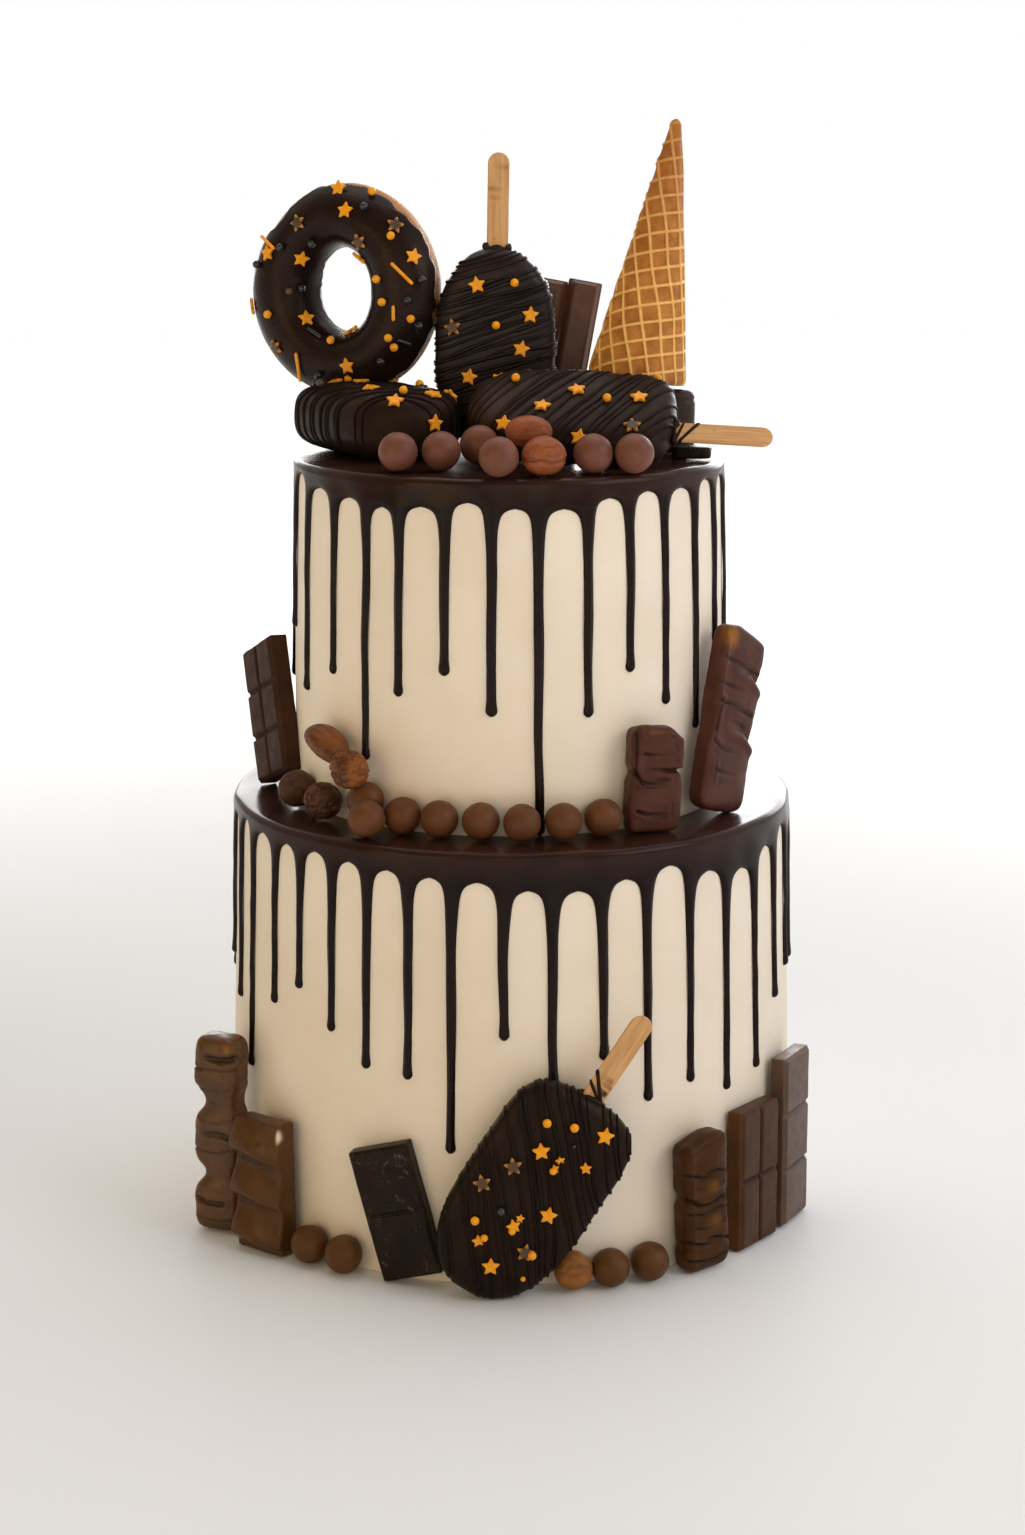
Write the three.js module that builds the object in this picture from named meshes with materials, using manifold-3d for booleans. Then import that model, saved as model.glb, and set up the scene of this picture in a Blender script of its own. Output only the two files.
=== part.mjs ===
// Two-tier drip cake, mm, +Z up, front towards -Y, origin at the centre of the lower tier's base.
import * as THREE from "three";
import { mergeVertices } from "three/addons/utils/BufferGeometryUtils.js";
import Module from "manifold-3d";

// Driving dimensions.
const LOWER_R = 124.2; // lower tier
const LOWER_TOP = 183;
const UPPER_R = 93; // upper tier
const UPPER_TOP = 331;
const GLAZE_T = 3; // ganache cap thickness, so its top planes lie at 186 and 334
const DRIP_IN = 0.3; // gap between a tier's side and its drips
const DRIP_OUT = 1.8; // how far drips stand out
const GAP = 0.3; // gap between pieces that touch
const Z0 = GAP; // floor level of the loose pieces round the lower tier
const Z1 = LOWER_TOP + GLAZE_T + GAP; // on the lower ganache
const Z2 = UPPER_TOP + GLAZE_T + GAP; // on the upper ganache
const BALL_LOW_R = 8.2;
const BALL_MID_R = 7.9;
const BALL_TOP_R = 8.2;
const RING_R = 31.5; // doughnut: radius of its centre line
const RING_TUBE = 14.4; // and of its dough
const RING_SPACE = 1.3; // from the dough to its glaze
const GLAZE_SKIN = 1;
const STICK_W = 9.4;
const STICK_T = 2;
const STICK_IN = 11.7; // length of stick inside its body
const CONE_R = 21.8;
const CONE_L = 111.8;

const wasm = await Module();
wasm.setup();
const deg = Math.PI / 180;
const root = new THREE.Group();
root.name = "drip_cake";

// ---------- geometry helpers ----------
function build(points, faces) {
  let v = 0;
  for (const [a, b, c] of faces) {
    const [p, q, r] = [points[a], points[b], points[c]];
    v += p[0] * (q[1] * r[2] - q[2] * r[1]) - p[1] * (q[0] * r[2] - q[2] * r[0]) + p[2] * (q[0] * r[1] - q[1] * r[0]);
  }
  const g = new THREE.BufferGeometry();
  g.setAttribute("position", new THREE.BufferAttribute(new Float32Array(points.flat()), 3));
  g.setIndex(faces.flatMap(([a, b, c]) => (v < 0 ? [a, c, b] : [a, b, c])));
  return g;
}

// Closed skin from a pole through rings of equal count to another pole.
function stack(start, rings, end) {
  const n = rings[0].length,
    pts = [start, ...rings.flat(), end],
    faces = [];
  const at = (i, j) => 1 + i * n + ((j + n) % n);
  for (let j = 0; j < n; j++) {
    faces.push([0, at(0, j + 1), at(0, j)]);
    for (let i = 0; i + 1 < rings.length; i++) {
      faces.push([at(i, j), at(i, j + 1), at(i + 1, j + 1)], [at(i, j), at(i + 1, j + 1), at(i + 1, j)]);
    }
    faces.push([pts.length - 1, at(rings.length - 1, j), at(rings.length - 1, j + 1)]);
  }
  return build(pts, faces);
}

// Closed ring skin: sections of equal count round a loop.
function loop(sections) {
  const m = sections.length,
    n = sections[0].length,
    faces = [];
  const at = (i, j) => (i % m) * n + (j % n);
  for (let i = 0; i < m; i++)
    for (let j = 0; j < n; j++)
      faces.push([at(i, j), at(i, j + 1), at(i + 1, j + 1)], [at(i, j), at(i + 1, j + 1), at(i + 1, j)]);
  return build(sections.flat(), faces);
}

function solid(g) {
  const q = g.index ? g.clone() : g.clone();
  q.deleteAttribute("normal");
  q.deleteAttribute("uv");
  const m = mergeVertices(q, 1e-3);
  return new wasm.Manifold(
    new wasm.Mesh({ numProp: 3, vertProperties: m.attributes.position.array, triVerts: new Uint32Array(m.index.array) }),
  );
}

function unsolid(s) {
  const m = s.getMesh(),
    v = new Float32Array(m.numVert * 3);
  for (let i = 0; i < m.numVert; i++) v.set(m.vertProperties.subarray(i * m.numProp, i * m.numProp + 3), i * 3);
  const g = new THREE.BufferGeometry();
  g.setAttribute("position", new THREE.BufferAttribute(v, 3));
  g.setIndex(Array.from(m.triVerts));
  return g;
}

const boxAt = (w, t, h, x, y, z) => new THREE.BoxGeometry(w, t, h).translate(x, y, z);

// Signed power, for superellipse sections.
const sp = (v, e) => Math.sign(v) * Math.abs(v) ** e;
const section = (a, b, z, n, e) =>
  Array.from({ length: n }, (_, j) => {
    const t = ((j + 0.5) / n) * 2 * Math.PI;
    return [a * sp(Math.cos(t), e), b * sp(Math.sin(t), e), z];
  });

// Repeatable pseudo-random numbers in 0..1.
function rng(seed) {
  let s = seed >>> 0;
  return () => {
    s = (s * 1664525 + 1013904223) >>> 0;
    return s / 4294967296;
  };
}

// ---------- poses ----------
// A slab stands on z, faces -y, turned by az, its top going back by lean and to the right by roll.
function pose(x, y, z, az = 0, lean = 0, roll = 0) {
  return new THREE.Matrix4()
    .makeTranslation(x, y, z)
    .multiply(new THREE.Matrix4().makeRotationZ(az * deg))
    .multiply(new THREE.Matrix4().makeRotationX(-lean * deg))
    .multiply(new THREE.Matrix4().makeRotationY(roll * deg));
}
// A long body given by its centre, the way its stick end points and the way its width runs.
function along(centre, d, w) {
  const dz = new THREE.Vector3(...d).normalize();
  const wx = new THREE.Vector3(...w);
  wx.addScaledVector(dz, -wx.dot(dz)).normalize();
  const ty = new THREE.Vector3().crossVectors(dz, wx);
  return new THREE.Matrix4().makeBasis(wx, ty, dz).setPosition(...centre);
}
const lowest = (g) => {
  g.computeBoundingBox();
  return g.boundingBox.min.z;
};
// Places a geometry, then sets it down on a level when one is given.
function placed(g, matrix, level) {
  const q = g.clone().applyMatrix4(matrix);
  if (level !== undefined) q.translate(0, 0, level - lowest(q));
  return q;
}

function add(name, g, color, rough = 0.4) {
  const q = g.index ? g.toNonIndexed() : g.clone();
  q.deleteAttribute("normal");
  q.computeVertexNormals();
  const mesh = new THREE.Mesh(q, new THREE.MeshStandardMaterial({ color, roughness: rough }));
  mesh.name = name;
  root.add(mesh);
  return g;
}

const CREAM = 0xd9c6a4,
  GANACHE = 0x2a1a17,
  COAT = 0x30211e,
  MILK = 0x6f4836,
  DARK = 0x241a18,
  TABLET = 0x50352b,
  DOUGH = 0xc98a4b,
  WAFFLE = 0xcb9a5c,
  STICK = 0xd3aa7c,
  NUT = 0x87503a;

// ---------- tiers ----------
function tier(r, z0, z1, fillet) {
  const pts = [[0, z0], [r, z0], [r, z1 - fillet], [r - fillet, z1], [0, z1]];
  return new THREE.LatheGeometry(pts.map(([x, y]) => new THREE.Vector2(x, y)), 60).rotateX(Math.PI / 2);
}
add("tier_lower", tier(LOWER_R, 0, LOWER_TOP, 1.5), CREAM, 0.6);
add("tier_upper", tier(UPPER_R, LOWER_TOP + GLAZE_T + GAP, UPPER_TOP, 1.5), CREAM, 0.6);

// ---------- ganache caps with drips ----------
// Each drip is [azimuth of its tip, height of its tip]; between two drips the edge arches up to the given height.
function ganache(r, top, drips, arches, fillet) {
  const inner = r + DRIP_IN,
    outer = r + DRIP_OUT,
    under = top - GLAZE_T + GAP,
    cols = [];
  const mm = 180 / Math.PI / outer;
  drips.forEach(([az, tip], k) => {
    const before = arches[k],
      after = arches[(k + 1) % drips.length];
    const front = Math.abs(((az + 540) % 360) - 180) < 88;
    const prev = drips[(k + drips.length - 1) % drips.length][0] - (k === 0 ? 360 : 0);
    cols.push([(prev + az) / 2, before]);
    if (front) cols.push([az - 5.2 * mm, before - 3.6]);
    cols.push([az - 2.9 * mm, Math.max(before - 13, tip + 4)]);
    cols.push([az - 1.7 * mm, tip], [az + 1.7 * mm, tip]);
    cols.push([az + 2.9 * mm, Math.max(after - 13, tip + 4)]);
    if (front) cols.push([az + 5.2 * mm, after - 3.6]);
  });
  const ring = (rad, z) =>
    cols.map(([az, low]) => [rad * Math.sin(az * deg), -rad * Math.cos(az * deg), z === null ? low : z]);
  return stack(
    [0, 0, top],
    [ring(outer - fillet, top), ring(outer, top - fillet), ring(outer, null), ring(inner, null), ring(inner, under)],
    [0, 0, under],
  );
}
// Drips round the back carry on at the front's spacing.
function fillBack(front, last, count, low, high, seed) {
  const rand = rng(seed),
    out = [...front],
    from = front[front.length - 1][0],
    step = (last - from) / (count + 1);
  for (let k = 1; k <= count; k++) {
    const short = rand() < 0.6;
    out.push([from + step * k + (rand() - 0.5) * 1.2, short ? high - 16 * rand() : low + (high - low) * rand() * 0.7]);
  }
  return out;
}
const dripsUp = fillBack(
  [[-79, 262], [-65.8, 237.8], [-51.5, 248.7], [-39.2, 214.8], [-29, 243.8], [-16.3, 254], [-4.4, 237.6], [7.5, 187.2], [20.3, 236.2], [32.1, 253.6], [43.8, 237.7], [56.6, 224], [69, 257.8], [81, 246]],
  281, 15, 214, 258, 11,
);
const archUp = [330, 330, 326, 324, 321.5, 322.7, 325, 322.7, 322.3, 325.9, 327.6, 327.4, 329, 329];
while (archUp.length < dripsUp.length) archUp.push(323 + 5 * Math.abs(Math.sin(archUp.length * 1.7)));
const dripsLow = fillBack(
  [[-82, 113], [-72.1, 99.1], [-64.2, 72.7], [-54.3, 107.4], [-46, 118.2], [-37.2, 103.5], [-28.9, 90.7], [-20.1, 88.7], [-11.4, 58.3], [-1.5, 107.9], [7.8, 88], [17.6, 97.6], [27, 77.3], [36.9, 81.5], [46.9, 73], [56.9, 76.7], [66.6, 102.3], [76, 111]],
  278, 20, 62, 112, 5,
);
const archLow = [181, 181, 182, 180.2, 179.3, 179.4, 178, 176.8, 175.4, 174.3, 171, 170.2, 173.5, 176.8, 171.2, 168.2, 173.3, 178];
while (archLow.length < dripsLow.length) archLow.push(174 + 5 * Math.abs(Math.sin(archLow.length * 2.1)));
add("ganache_lower", ganache(LOWER_R, LOWER_TOP + GLAZE_T, dripsLow, archLow, 3.2), GANACHE, 0.2);
add("ganache_upper", ganache(UPPER_R, UPPER_TOP + GLAZE_T, dripsUp, archUp, 3.2), GANACHE, 0.2);

// ---------- standing doughnut ----------
const ringPose = pose(-73.6, 43, 403.2, -30, 0, 0);
function doughnut(tube) {
  const sections = [];
  for (let i = 0; i < 24; i++) {
    const a = (i / 24) * 2 * Math.PI,
      s = [];
    for (let j = 0; j < 10; j++) {
      const f = (j / 10) * 2 * Math.PI,
        q = RING_R + tube * Math.cos(f);
      s.push([q * Math.cos(a), -tube * Math.sin(f), q * Math.sin(a)]);
    }
    sections.push(s);
  }
  return loop(sections);
}
function ringGlaze() {
  const sections = [],
    N = 6;
  for (let i = 0; i < 24; i++) {
    const a = (i / 24) * 2 * Math.PI;
    const f0 = (24 + 6 * Math.sin(5 * a + 1) + 3 * Math.sin(9 * a)) * deg,
      f1 = (196 + 5 * Math.sin(4 * a)) * deg;
    const p = (f, t) => [(RING_R + t * Math.cos(f)) * Math.cos(a), -t * Math.sin(f), (RING_R + t * Math.cos(f)) * Math.sin(a)];
    const out = [],
      back = [];
    for (let j = 0; j < N; j++) {
      const f = f0 + ((f1 - f0) * j) / (N - 1);
      out.push(p(f, RING_TUBE + RING_SPACE + GLAZE_SKIN));
      back.unshift(p(f, RING_TUBE + RING_SPACE));
    }
    sections.push([...out, ...back]);
  }
  return loop(sections);
}
add("doughnut_dough", placed(doughnut(RING_TUBE), ringPose), DOUGH, 0.7);
add("doughnut_glaze", placed(ringGlaze(), ringPose), COAT, 0.25);

// ---------- coated cake pops ----------
// Local z runs from the domed end to the stick end.
function popBody(L, W, T, slot, square = 6.5, shift = 0, twist = 0) {
  const rings = [],
    cuts = [0.012, 0.05, 0.13, 0.26, 0.45, 0.68, 0.86, 0.95, 0.985];
  for (const s of cuts) {
    const k = 2 * s - 1,
      e = k < 0 ? 2.7 : square;
    const a = (W / 2) * (1 - Math.abs(k) ** e) ** (k < 0 ? 1 / 2.1 : square < 4 ? 1 / 2.1 : 1 / 2.6);
    const b = (T / 2) * (1 - Math.abs(k) ** 7) ** (1 / 2.2);
    rings.push(section(a, b, (s - 0.5) * L, 12, 0.62));
  }
  const body = stack([0, 0, -L / 2], rings, [0, 0, L / 2]);
  if (!slot) return body;
  const cut = boxAt(STICK_W + 2 * GAP, STICK_T + 2 * GAP, 24, 0, 0, L / 2 - STICK_IN - GAP + 12)
    .rotateZ(twist)
    .translate(shift, 0, 0);
  return unsolid(solid(body).subtract(solid(cut)));
}
// Stick with a round free end, its other end in the body.
function stick(L, out, shift = 0, twist = 0) {
  const s = new THREE.Shape(),
    h = STICK_W / 2,
    z0 = L / 2 - STICK_IN,
    z1 = L / 2 + out - h;
  s.moveTo(-h, z0);
  s.lineTo(h, z0);
  s.lineTo(h, z1);
  s.absarc(0, z1, h, 0, Math.PI, false);
  return new THREE.ExtrudeGeometry(s, { depth: STICK_T, bevelEnabled: false, curveSegments: 5 })
    .translate(0, 0, -STICK_T / 2)
    .rotateX(Math.PI / 2)
    .rotateZ(twist)
    .translate(shift, 0, 0);
}
const popUpright = along([-7.1, 19.5, 334.3 + 44.1], [0.02, 0, 1], [1, 0, 0]);
add("pop_upright", placed(popBody(88, 53.4, 22, true, 2.7), popUpright), COAT, 0.35);
add("pop_upright_stick", placed(stick(88, 40.4), popUpright), STICK, 0.7);

const LYING_SHIFT = -6.5, // this stick sits off the middle and is twisted
  LYING_TWIST = 18 * deg;
const popLying = along([25.6, -31.5, 353.2], [0.985, -0.139, -0.045], [0.12, 0.85, 0.5]);
add("pop_lying", placed(popBody(89, 53, 21, true, 6.5, LYING_SHIFT, LYING_TWIST), popLying), COAT, 0.35);
add("pop_lying_stick", placed(stick(89, 41, LYING_SHIFT, LYING_TWIST), popLying), STICK, 0.7);

const TURN = 3 * deg,
  LEAN = 1 * deg,
  TIP = 33 * deg;
const up = [-Math.sin(TURN) * Math.sin(LEAN), Math.cos(TURN) * Math.sin(LEAN), Math.cos(LEAN)];
const right = [Math.cos(TURN), Math.sin(TURN), 0];
const mix = (a, b) => up.map((u, i) => a * u + b * right[i]);
const popFront = along([6.6, -136.5, 44.9], mix(Math.cos(TIP), Math.sin(TIP)), mix(-Math.sin(TIP), Math.cos(TIP)));
add("pop_front", placed(popBody(97.5, 56.8, 16, true), popFront), COAT, 0.35);
add("pop_front_stick", placed(stick(97.5, 40.4), popFront), STICK, 0.7);

// Pop lying under the doughnut, pressed in a little where the doughnut stands.
{
  const body = placed(popBody(90, 55, 29, false), along([-57, 3, 334.3 + 14.5], [-0.47, 0.88, 0], [0.88, 0.47, 0]));
  const press = placed(doughnut((RING_TUBE + RING_SPACE + GLAZE_SKIN + GAP) / Math.cos(Math.PI / 10) + 0.1), ringPose);
  add("pop_low", unsolid(solid(body).subtract(solid(press))), COAT, 0.35);
}

// ---------- waffle cone, mouth down ----------
add(
  "waffle_cone",
  placed(
    new THREE.LatheGeometry(
      [[0, 0], [CONE_R - 0.3, 0], [CONE_R, 2.5], [3, CONE_L - 3.2], [1.6, CONE_L - 0.7], [0, CONE_L]].map(([x, y]) => new THREE.Vector2(x, y)),
      24,
    ).rotateX(Math.PI / 2),
    pose(54.7, 12, 366.2, 0, 0, 8.4),
  ),
  WAFFLE,
  0.75,
);

// ---------- fingers, block and small slab on the top ----------
function finger(h) {
  const s = new THREE.Shape([[-7.3, 4.3], [-7.3, -0.6], [-4.4, -4.3], [4.4, -4.3], [7.3, -0.6], [7.3, 4.3]].map(([x, y]) => new THREE.Vector2(x, y)));
  return new THREE.ExtrudeGeometry(s, { depth: h, bevelEnabled: false });
}
add("finger_right", placed(finger(72.5), pose(20.4, 38.6, 336, 0, 4.8, 10.3), Z2), TABLET, 0.4);
add("finger_left", placed(finger(73.4), pose(4.9, 38.6, 336, 0, 4.8, 10.3), Z2), TABLET, 0.4);
function rounded(w, t, h, e = 0.35) {
  const rings = [0.02, 0.12, 0.5, 0.88, 0.98].map((s) => {
    const k = (1 - Math.abs(2 * s - 1) ** 8) ** (1 / 3);
    return section((w / 2) * (0.8 + 0.2 * k) * k ** 0.1, (t / 2) * (0.8 + 0.2 * k) * k ** 0.1, (s - 0.5) * h, 12, e);
  });
  return stack([0, 0, -h / 2], rings, [0, 0, h / 2]);
}
add("coated_block", placed(rounded(40, 30, 27.6), pose(60.2, 16.5, 350, 4), Z2), COAT, 0.4);
add("flat_piece", placed(rounded(17.5, 12, 5.6), pose(77.6, -17, 338, -8), Z2), DARK, 0.4);

// ---------- balls and nuts ----------
function ball(name, r, x, y, z, color = MILK) {
  add(name, new THREE.IcosahedronGeometry(r, 1).translate(x, y, z), color, 0.3);
}
function nut(name, axes, matrix, seed, color = NUT) {
  const rand = rng(seed),
    ph = [rand() * 6, rand() * 6, rand() * 6],
    g = mergeVertices(new THREE.IcosahedronGeometry(1, 1).deleteAttribute("normal").deleteAttribute("uv"), 1e-3),
    p = g.attributes.position;
  for (let i = 0; i < p.count; i++) {
    const [x, y, z] = [p.getX(i), p.getY(i), p.getZ(i)];
    const k = 1 - 0.05 * (1 + Math.sin(4 * x + ph[0]) * Math.sin(5 * y + ph[1]) + 0.6 * Math.sin(6 * z + ph[2])) * 0.6;
    p.setXYZ(i, x * axes[0] * k, y * axes[1] * k, z * axes[2] * k);
  }
  add(name, placed(g, matrix), color, 0.6);
}
const TOP_Z = Z2 + BALL_TOP_R,
  MID_Z = Z1 + BALL_MID_R,
  LOW_Z = Z0 + BALL_LOW_R;
[
  [-46.6, -70, TOP_Z],
  [-29, -66.5, TOP_Z],
  [-13.4, -53, TOP_Z + 1.2],
  [-5.2, -89.6, TOP_Z],
  [33.3, -76.6, TOP_Z],
  [50.2, -75.6, TOP_Z],
].forEach(([x, y, z], i) => ball("ball_top_" + (i + 1), BALL_TOP_R, x, y, z));
nut("nut_top_1", [9.3, 8.2, 8], pose(13.2, -84.8, Z2 + 8.1, 20), 3);
nut("nut_top_2", [9.8, 7.6, 6.6], pose(7.2, -66.4, 350.2, -10), 4);
[
  [-59.8, -98, MID_Z],
  [-61, -82.3, MID_Z + 4.2],
  [-45.2, -91.9, MID_Z],
  [-29.8, -98, MID_Z],
  [-12.6, -101.7, MID_Z],
  [4.3, -104.6, MID_Z],
  [21.4, -102.5, MID_Z],
  [37.9, -95.2, MID_Z],
].forEach(([x, y, z], i) => ball("ball_mid_" + (i + 1), BALL_MID_R, x, y, z));
nut("nut_mid_1", [12.2, 7, 6.8], pose(-78.4, -69.4, 219, -46, 0, 0).multiply(new THREE.Matrix4().makeRotationY(20 * deg)), 7, 0xa0673f);
nut("nut_mid_2", [9.2, 6.8, 8.4], pose(-67.6, -87.2, 212.6, -42), 8);
nut("nut_mid_3", [8.2, 8, 8.1], pose(-79.8, -68.4, Z1 + 8.2, 10), 9, MILK);
nut("nut_mid_4", [8, 7.8, 8.4], pose(-92.6, -46, Z1 + 8.6, 40), 10, MILK);
[
  [-86.2, -102.9],
  [-71.2, -113.2],
  [41.5, -127.2],
  [58.2, -120.5],
].forEach(([x, y], i) => ball("ball_low_" + (i + 1), BALL_LOW_R, x, y, LOW_Z));
nut("nut_low", [8.1, 7.8, 8.1], pose(25.6, -131.2, Z0 + 8.2, 0), 12, 0xb0783f);

// ---------- moulded tablets ----------
function tablet(w, t, h, cols, rows, groove = 1.4, relief = 2.6) {
  const plate = t - relief;
  let s = solid(boxAt(w, plate, h, 0, t / 2 - plate / 2, h / 2));
  const bw = w / cols,
    bh = h / rows,
    y0 = t / 2 - plate,
    bevel = 1.5;
  for (let i = 0; i < cols; i++)
    for (let j = 0; j < rows; j++) {
      const cx = -w / 2 + (i + 0.5) * bw,
        cz = (j + 0.5) * bh,
        a = bw / 2 - groove / 2,
        b = bh / 2 - groove / 2;
      const quad = (u, v, y) => [[cx - u, y, cz - v], [cx + u, y, cz - v], [cx + u, y, cz + v], [cx - u, y, cz + v]];
      s = s.add(solid(stack([cx, y0 + 1, cz], [quad(a, b, y0 + 1), quad(a, b, y0), quad(a - bevel, b - bevel, y0 - relief)], [cx, y0 - relief, cz])));
    }
  return unsolid(s);
}
add("tablet_mid", placed(tablet(33.5, 8.8, 60.8, 2, 3), pose(-102.8, -14.2, 193, -62.8, 2.9, -22.8), Z1), TABLET);
add("tablet_dark", placed(tablet(26.8, 7.6, 57.5, 1, 2), pose(-40.4, -124.2, 4, -17, 0.4, -15.7), Z0), DARK);
add("tablet_low_a", placed(tablet(28.7, 8, 62.2, 2, 2), pose(104.9, -81.2, 1, 51.6, 1, 0.8), Z0), TABLET);
add("tablet_low_b", placed(tablet(27, 8, 76.5, 1, 3), pose(123.3, -54.4, 1, 62, 1, 1.5), Z0), TABLET);

// ---------- coated bars ----------
// waists: [place along the bar 0..1, depth as a share, spread].
function bar(w, t, h, waists, bulge = 0) {
  const rings = [];
  for (const s of [0.008, 0.04, 0.16, 0.3, 0.44, 0.58, 0.7, 0.84, 0.96, 0.992]) {
    const end = (1 - Math.abs(2 * s - 1) ** 14) ** (1 / 4);
    let k = 1;
    for (const [at, depth, spread] of waists) k -= depth * Math.exp(-(((s - at) / spread) ** 2));
    rings.push(section((w / 2) * end * k, (t / 2) * end * (0.5 + 0.5 * k) * (1 + bulge * Math.sin(s * 9)), s * h, 10, 0.5));
  }
  return stack([0, 0, 0], rings, [0, 0, h]);
}
add("bar_mid_small", placed(bar(23.8, 10.5, 45, [[0.57, 0.12, 0.12]]), pose(58, -87.2, 187, 20.8, 0.9, 3), Z1), 0x553a30);
add("bar_mid_big", placed(bar(31.5, 9.4, 78.5, [[0.3, 0.05, 0.05], [0.55, 0.06, 0.05], [0.78, 0.06, 0.05]]), pose(86.2, -61.4, 191, 49.8, 2.6, 17), Z1), 0x553a30);
add("bar_tall", placed(bar(21.5, 15, 89.5, [[0.31, 0.22, 0.06], [0.66, 0.22, 0.06]]), pose(-127.8, -65.2, 1, -21.8, 1.6, 0.7), Z0), 0x643f2f);
add("bar_low", placed(bar(23.6, 12, 61.5, [[0.58, 0.12, 0.1]]), pose(81.2, -107.4, 1, 35.1, -0.5, -3.3), Z0), 0x643f2f);
// Moulded bar with waves across its front.
{
  const H = 59,
    T = 12,
    W = 26,
    pts = [[T / 2, 0], [T / 2, H]];
  for (let i = 0; i <= 18; i++) {
    const s = i / 18,
      edge = i === 0 || i === 18 ? 2.4 : 0;
    pts.push([-T / 2 + 1.1 - 1.1 * Math.cos(6 * Math.PI * (s - 1 / 6)) + edge, H * (1 - s)]);
  }
  const g = new THREE.ExtrudeGeometry(new THREE.Shape(pts.map(([y, z]) => new THREE.Vector2(y, z))), { depth: W, bevelEnabled: false });
  // shape x -> y, shape y -> z, depth -> x
  g.applyMatrix4(new THREE.Matrix4().set(0, 0, 1, -W / 2, 1, 0, 0, 0, 0, 1, 0, 0, 0, 0, 0, 1));
  add("bar_wave", placed(g, pose(-106.2, -89.2, 1, -35.4, 0.6, -0.7), Z0), 0x643f2f);
}

export default root;
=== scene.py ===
# Two-tier drip cake with its toppings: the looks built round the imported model.
# Builders work in millimetres, objects are in metres, in the model's frame.
import math

import bpy
import bmesh
import numpy as np
from mathutils import Matrix, Vector
from mathutils.bvhtree import BVHTree


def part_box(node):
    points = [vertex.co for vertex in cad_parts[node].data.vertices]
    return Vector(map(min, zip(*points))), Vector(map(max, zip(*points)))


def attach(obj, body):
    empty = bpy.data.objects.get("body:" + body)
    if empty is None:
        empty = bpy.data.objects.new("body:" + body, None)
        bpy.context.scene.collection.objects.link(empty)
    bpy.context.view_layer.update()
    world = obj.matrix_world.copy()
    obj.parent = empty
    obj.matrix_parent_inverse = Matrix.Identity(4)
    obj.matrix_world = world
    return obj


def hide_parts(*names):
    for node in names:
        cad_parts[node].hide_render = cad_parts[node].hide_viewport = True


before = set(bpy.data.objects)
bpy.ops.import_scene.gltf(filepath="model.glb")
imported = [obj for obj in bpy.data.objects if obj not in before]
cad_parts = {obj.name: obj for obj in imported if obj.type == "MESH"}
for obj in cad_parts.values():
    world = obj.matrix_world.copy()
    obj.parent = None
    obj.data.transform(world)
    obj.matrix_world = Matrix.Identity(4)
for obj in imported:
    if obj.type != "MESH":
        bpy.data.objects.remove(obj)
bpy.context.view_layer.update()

MM = 0.001
TAU = 2 * math.pi
scene = bpy.context.scene

# ------------------------------------------------------------------ camera
cam_data = bpy.data.cameras.new("camera")
cam = bpy.data.objects.new("camera", cam_data)
scene.collection.objects.link(cam)
cam_data.sensor_width = 36
cam_data.lens = 36 * 2600 / 1535
cam_data.clip_start = 0.05
cam_data.clip_end = 50
cam.location = (0.0, -1.1392, 0.4548)
cam.rotation_euler = (math.radians(77.083), 0.0, math.radians(-0.023))
scene.camera = cam
CAM_R = np.array(cam.rotation_euler.to_matrix())
CAM_P = np.array(cam.location)


def pixel_ray(px, py):
    """Direction of the sight line through a point of the 1025 x 1535 picture."""
    d = CAM_R @ np.array([(px - 512.5) / 2600, -(py - 767.5) / 2600, -1.0])
    return d / np.linalg.norm(d)


IMAGE_UP = CAM_R @ np.array([0, 1.0, 0])
IMAGE_RIGHT = CAM_R @ np.array([1.0, 0, 0])


# ------------------------------------------------------------------ numbers
def noise3(p, size, seed=0):
    """Smooth value noise in -1..1 over points p (n, 3); size is one cell, a number or three."""
    q = np.asarray(p, float) / np.asarray(size, float)
    i = np.floor(q).astype(np.int64)
    f = q - i
    u = f * f * (3 - 2 * f)
    total = np.zeros(len(q))
    for a in (0, 1):
        for b in (0, 1):
            for c in (0, 1):
                x, y, z = i[:, 0] + a, i[:, 1] + b, i[:, 2] + c
                h = (x * 374761393 + y * 668265263 + z * 1442695041 + seed * 97531357) & 0xFFFFFFFF
                h = ((h ^ (h >> 13)) * 1274126177) & 0xFFFFFFFF
                h = (h ^ (h >> 16)) & 0xFFFFFFFF
                w = (u[:, 0] if a else 1 - u[:, 0]) * (u[:, 1] if b else 1 - u[:, 1]) * (u[:, 2] if c else 1 - u[:, 2])
                total += w * (h / 2147483647.5 - 1)
    return total


def fbm(p, size, seed=0, octaves=3):
    total, k = np.zeros(len(p)), 1.0
    for o in range(octaves):
        total += k * noise3(p, np.asarray(size, float) / 2**o, seed + 11 * o)
        k *= 0.5
    return total / (2 - 2 * k)


def smooth(x):
    x = np.clip(x, 0, 1)
    return x * x * (3 - 2 * x)


def sp(v, e):
    return np.sign(v) * np.abs(v) ** e


def rot(axis, degrees):
    a = math.radians(degrees)
    c, s = math.cos(a), math.sin(a)
    m = np.eye(4)
    i, j = {"x": (1, 2), "y": (2, 0), "z": (0, 1)}[axis]
    m[i, i] = m[j, j] = c
    m[i, j], m[j, i] = -s, s
    return m


def pose(x, y, z, az=0, lean=0, roll=0):
    """A slab stands on z and faces -y, turned by az, its top back by lean and to the right by roll."""
    m = np.eye(4)
    m[:3, 3] = (x, y, z)
    return m @ rot("z", az) @ rot("x", -lean) @ rot("y", roll)


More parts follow.
